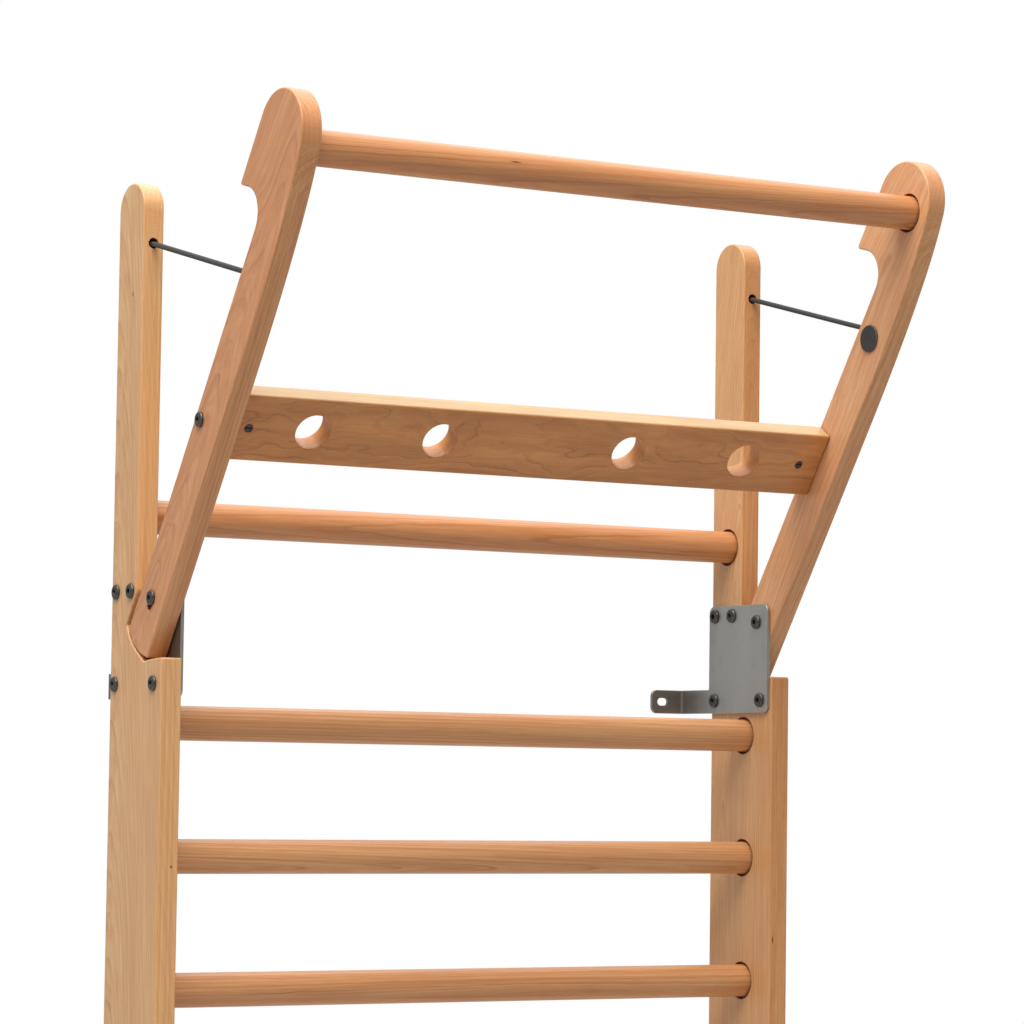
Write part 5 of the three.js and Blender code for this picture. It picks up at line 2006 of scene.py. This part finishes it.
@dataclass
class Cords:
    """The two stay cords, from their stops in the uprights, taut across, and into the arms."""

    diameter: float = 6.0
    stop_end: float = 16.0
    lead: float = 40.0
    sides: int = 28
    sharp: float = 60.0
    spacing: float = 2.0
    fewest: int = 4
    route: tuple[Point2, ...] = (
        (5, 1944), (16, 1944), (27, 1944), (38, 1944), (47, 1944), (53, 1943.9), (58, 1943.5), (63, 1942.7),
        (70, 1941.2), (90, 1936.3), (120, 1928.9), (150, 1921.5), (180, 1914.1), (210, 1906.7), (240, 1899.3),
        (270, 1891.9), (290, 1887.0), (296, 1885.2), (301, 1882.6), (305, 1880.0), (309, 1877.3),
        (313.3, 1874.3))

    def line(self) -> list[Vector]:
        """The smooth line over the route's points, evenly spaced."""
        def between(a: Vector, b: Vector, start: float, end: float, u: float) -> Vector:
            """The point at u on the way from a, at start, to b, at end."""
            return a * ((end - u) / (end - start)) + b * ((u - start) / (end - start))

        p = [Vector(q) for q in self.route]
        p = [p[0] * 2 - p[1]] + p + [p[-1] * 2 - p[-2]]
        made = []
        for i in range(1, len(p) - 2):
            t = [0.0]
            for a, b in zip(p[i - 1:i + 2], p[i:i + 3]):
                t.append(t[-1] + (b - a).length ** 0.5)
            count = max(self.fewest, round((p[i + 1] - p[i]).length / self.spacing))
            for j in range(count + (i == len(p) - 3)):
                u = t[1] + (t[2] - t[1]) * j / count
                a = [between(p[i + k - 1], p[i + k], t[k], t[k + 1], u) for k in range(3)]
                b = [between(a[k], a[k + 1], t[k], t[k + 2], u) for k in range(2)]
                made.append(between(*b, t[1], t[2], u))
        return made

    def tube(self, name: str, path: Sequence[Vector], run: Sequence[float], part: range,
             finishes: Finishes) -> Piece:
        """Makes one stretch of a braided cord.

        Args:
            name: The name of the piece.
            path: The whole cord's middle line, in metres.
            run: The length of cord up to each of its points.
            part: The points of this stretch.
            finishes: The finishes.

        Returns:
            The stretch.
        """
        rings, braid = [], []
        for i in part:
            ahead = path[min(i + 1, len(path) - 1)] - path[max(i - 1, 0)]
            up = Vector((1, 0, 0)).cross(ahead).normalized()
            ring = []
            for j in range(self.sides):
                a = 2 * math.pi * j / self.sides
                out = Vector((1, 0, 0)) * math.cos(a) + up * math.sin(a)
                ring.append(path[i] + out * self.diameter / 2 * MM)
                braid.append((j / self.sides, run[i], 0.0))
            rings.append(ring)
        solid = Solid().loft(rings)
        bmesh.ops.recalc_face_normals(solid.mesh, faces=solid.mesh.faces)
        made = new_object(name, solid.mesh)
        write_attribute(made, "braid", np.array(braid))
        made.data.shade_smooth()
        made.data.set_sharp_from_angle(angle=math.radians(self.sharp))
        made.data.materials.append(finishes.cord)
        return made

    def build(self, finishes: Finishes) -> None:
        """Makes both cords in two stretches, a long one and an end one."""
        line = self.line()
        mouth = F.swung_out(F.arm_rear, F.cord_along)
        meet = max(i for i, p in enumerate(line) if p.x < mouth[0] - self.lead)
        for side in Side:
            x, node = F.middle_x * side.value, f"{side.word}_stay_cord"
            path = [F.wall_place(x, *p) for p in line]
            run = [0.0]
            for a, b in zip(path, path[1:]):
                run.append(run[-1] + (b - a).length)
            leaves = F.wall_place(x, self.stop_end, F.cord_height)
            hole = F.wall_place(x, F.upper_depth, F.cord_height)
            for word, part, start, bodies, bend in (
                    ("braided", range(meet + 1), leaves, (Body.WALL, Body.PIVOT), (hole, path[meet])),
                    ("end_braided", range(meet, len(path)), path[meet], (Body.PIVOT, Body.SWING),
                     (path[meet], F.wall_place(x, *mouth)))):
                made = self.tube(f"{node}_{word}", path, run, part, finishes)
                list(bend)
                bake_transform(made)
                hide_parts(node)
                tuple(start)
                [path[i] for i in part]
            LOG.info("%s: %.0f mm long", node, run[-1] / MM)


class CordStops:
    """The crimped stop sleeves, kept as the frame's own nodes and given the fittings' finish."""

    NODES = tuple(f"{s.word}_{w}_cord_stop" for s in Side for w in ("upright", "arm"))

    def dress(self, finishes: Finishes) -> None:
        """Assigns the finish to each stop."""
        for name in self.NODES:
            node = frame["nodes"][name]
            node.data.materials.clear()
            node.data.materials.append(finishes.fitting)
            LOG.info("%s: finish", name)


@dataclass(frozen=True)
class Lamp:
    """A square soft light: its place, the point it faces, its side in metres, its watts and its colour."""

    name: str
    place: Triple
    aim: Triple
    size: float
    power: float
    colour: Colour = (1.0, 1.0, 1.0)

    def build(self) -> None:
        """Hangs the light."""
        data = bpy.data.lights.new(self.name, "AREA")
        data.size, data.energy, data.color = self.size, self.power, self.colour
        made = bpy.data.objects.new(self.name, data)
        made.location = self.place
        made.rotation_mode = "QUATERNION"
        made.rotation_quaternion = (Vector(self.aim) - Vector(self.place)).to_track_quat("-Z", "Y")
        bpy.context.scene.collection.objects.link(made)


@dataclass
class Studio:
    """Pale floor, soft white light and the camera of the photograph."""

    eye: Triple = (-2.312334, -4.007205, 1.348884)
    yaw: float = -0.549555
    pitch: float = 0.069567
    roll: float = 0.013732
    focal_pixels: float = 3887.70181
    picture: int = 1024
    sensor: float = 36.0
    far: float = 100.0
    floor_radius: float = 12.0
    floor_sides: int = 96
    floor_colours: tuple[Colour, Colour] = ((0.52, 0.52, 0.52), (0.57, 0.57, 0.565))
    floor_mottle: Cloud = Cloud((3.0, 3.0, 3.0), 4.0)
    floor_rough: float = 0.75
    floor_fade: Stops = ((0.3, 0.0), (0.95, 1.0))
    ambient: float = 0.52
    behind_camera: float = 0.16
    darker_between: Point2 = (-0.1, 0.9)
    lamps: tuple[Lamp, ...] = (
        Lamp("overhead", (-1.7, -1.9, 6.2), (0.0, -0.2, 1.4), 4.6, 480.0, (1.0, 0.97, 0.92)),
        Lamp("above_behind", (1.6, 1.5, 5.6), (0.0, -0.2, 1.6), 4.4, 90.0))

    def camera(self) -> None:
        """Places the camera."""
        ahead = Vector((-math.sin(self.yaw) * math.cos(self.pitch), math.cos(self.yaw) * math.cos(self.pitch),
                        math.sin(self.pitch)))
        right = Vector((math.cos(self.yaw), math.sin(self.yaw), 0))
        up = right.cross(ahead)
        level = right * math.cos(self.roll) + up * math.sin(self.roll)
        above = -right * math.sin(self.roll) + up * math.cos(self.roll)
        data = bpy.data.cameras.new("camera")
        data.sensor_width = self.sensor
        data.lens = self.focal_pixels * data.sensor_width / self.picture
        data.clip_end = self.far
        made = bpy.data.objects.new("camera", data)
        turn = Matrix((level, above, -ahead)).transposed().to_4x4()
        made.matrix_world = Matrix.Translation(self.eye) @ turn
        bpy.context.scene.collection.objects.link(made)
        bpy.context.scene.camera = made

    def floor(self) -> None:
        """A pale floor that fades into the white beyond it."""
        mesh = bmesh.new()
        bmesh.ops.create_circle(mesh, cap_ends=True, segments=self.floor_sides, radius=self.floor_radius)
        made = new_object("floor", mesh)
        n = Nodes("pale_floor")
        away = n.math("DIVIDE", n.vector("LENGTH", n.place()), self.floor_radius)
        shader = n.add("BsdfPrincipled")
        mottle = n.noise(n.place(), self.floor_mottle)
        n.put(shader.inputs["Base Color"], n.mix(mottle, *self.floor_colours))
        shader.inputs["Roughness"].default_value = self.floor_rough
        clear = n.add("BsdfTransparent")
        blend = n.add("MixShader")
        n.put(blend.inputs[0], n.curve(away, self.floor_fade))
        n.tree.links.new(shader.outputs[0], blend.inputs[1])
        n.tree.links.new(clear.outputs[0], blend.inputs[2])
        out = n.add("OutputMaterial")
        n.tree.links.new(blend.outputs[0], out.inputs[0])
        made.data.materials.append(n.material)

    def world(self) -> None:
        """White to the eye; as a light, bright to the sides and darker behind the camera."""
        world = bpy.data.worlds.new("white")
        world.use_nodes = True
        tree = world.node_tree
        tree.nodes.clear()
        ray = tree.nodes.new("ShaderNodeLightPath")
        way = tree.nodes.new("ShaderNodeTexCoord")
        turned = tree.nodes.new("ShaderNodeVectorMath")
        turned.operation = "DOT_PRODUCT"
        turned.inputs[1].default_value = Vector((self.eye[0], self.eye[1], 0)).normalized()
        tree.links.new(way.outputs["Generated"], turned.inputs[0])
        light = tree.nodes.new("ShaderNodeMapRange")
        light.interpolation_type = "SMOOTHSTEP"
        light.inputs["From Min"].default_value = self.darker_between[0]
        light.inputs["From Max"].default_value = self.darker_between[1]
        light.inputs["To Min"].default_value = self.ambient
        light.inputs["To Max"].default_value = self.behind_camera
        tree.links.new(turned.outputs["Value"], light.inputs["Value"])
        level = tree.nodes.new("ShaderNodeMapRange")
        level.inputs["To Max"].default_value = 1.0
        tree.links.new(ray.outputs["Is Camera Ray"], level.inputs["Value"])
        tree.links.new(light.outputs[0], level.inputs["To Min"])
        white = tree.nodes.new("ShaderNodeBackground")
        white.inputs["Color"].default_value = (1.0, 1.0, 1.0, 1.0)
        tree.links.new(level.outputs[0], white.inputs["Strength"])
        out = tree.nodes.new("ShaderNodeOutputWorld")
        tree.links.new(white.outputs[0], out.inputs[0])
        bpy.context.scene.world = world
        settings = bpy.context.scene.view_settings
        settings.view_transform = "Standard"
        settings.look = "None"

    def build(self) -> None:
        """Sets up camera, floor and light."""
        self.camera()
        self.floor()
        self.world()
        for lamp in self.lamps:
            lamp.build()


def main() -> None:
    """Builds the scene."""
    logging.basicConfig(level=logging.INFO, format="%(name)s %(message)s")
    finishes = Finishes()
    Studio().build()
    Cords().build(finishes)
    Uprights().build(finishes)
    RoundBars().build(finishes)
    Arms().build(finishes)
    Board().build(finishes)
    Brackets().build(finishes)
    Fittings().build(finishes)
    Caps().build(finishes)
    CordStops().dress(finishes)


if __name__ == "__main__":
    main()
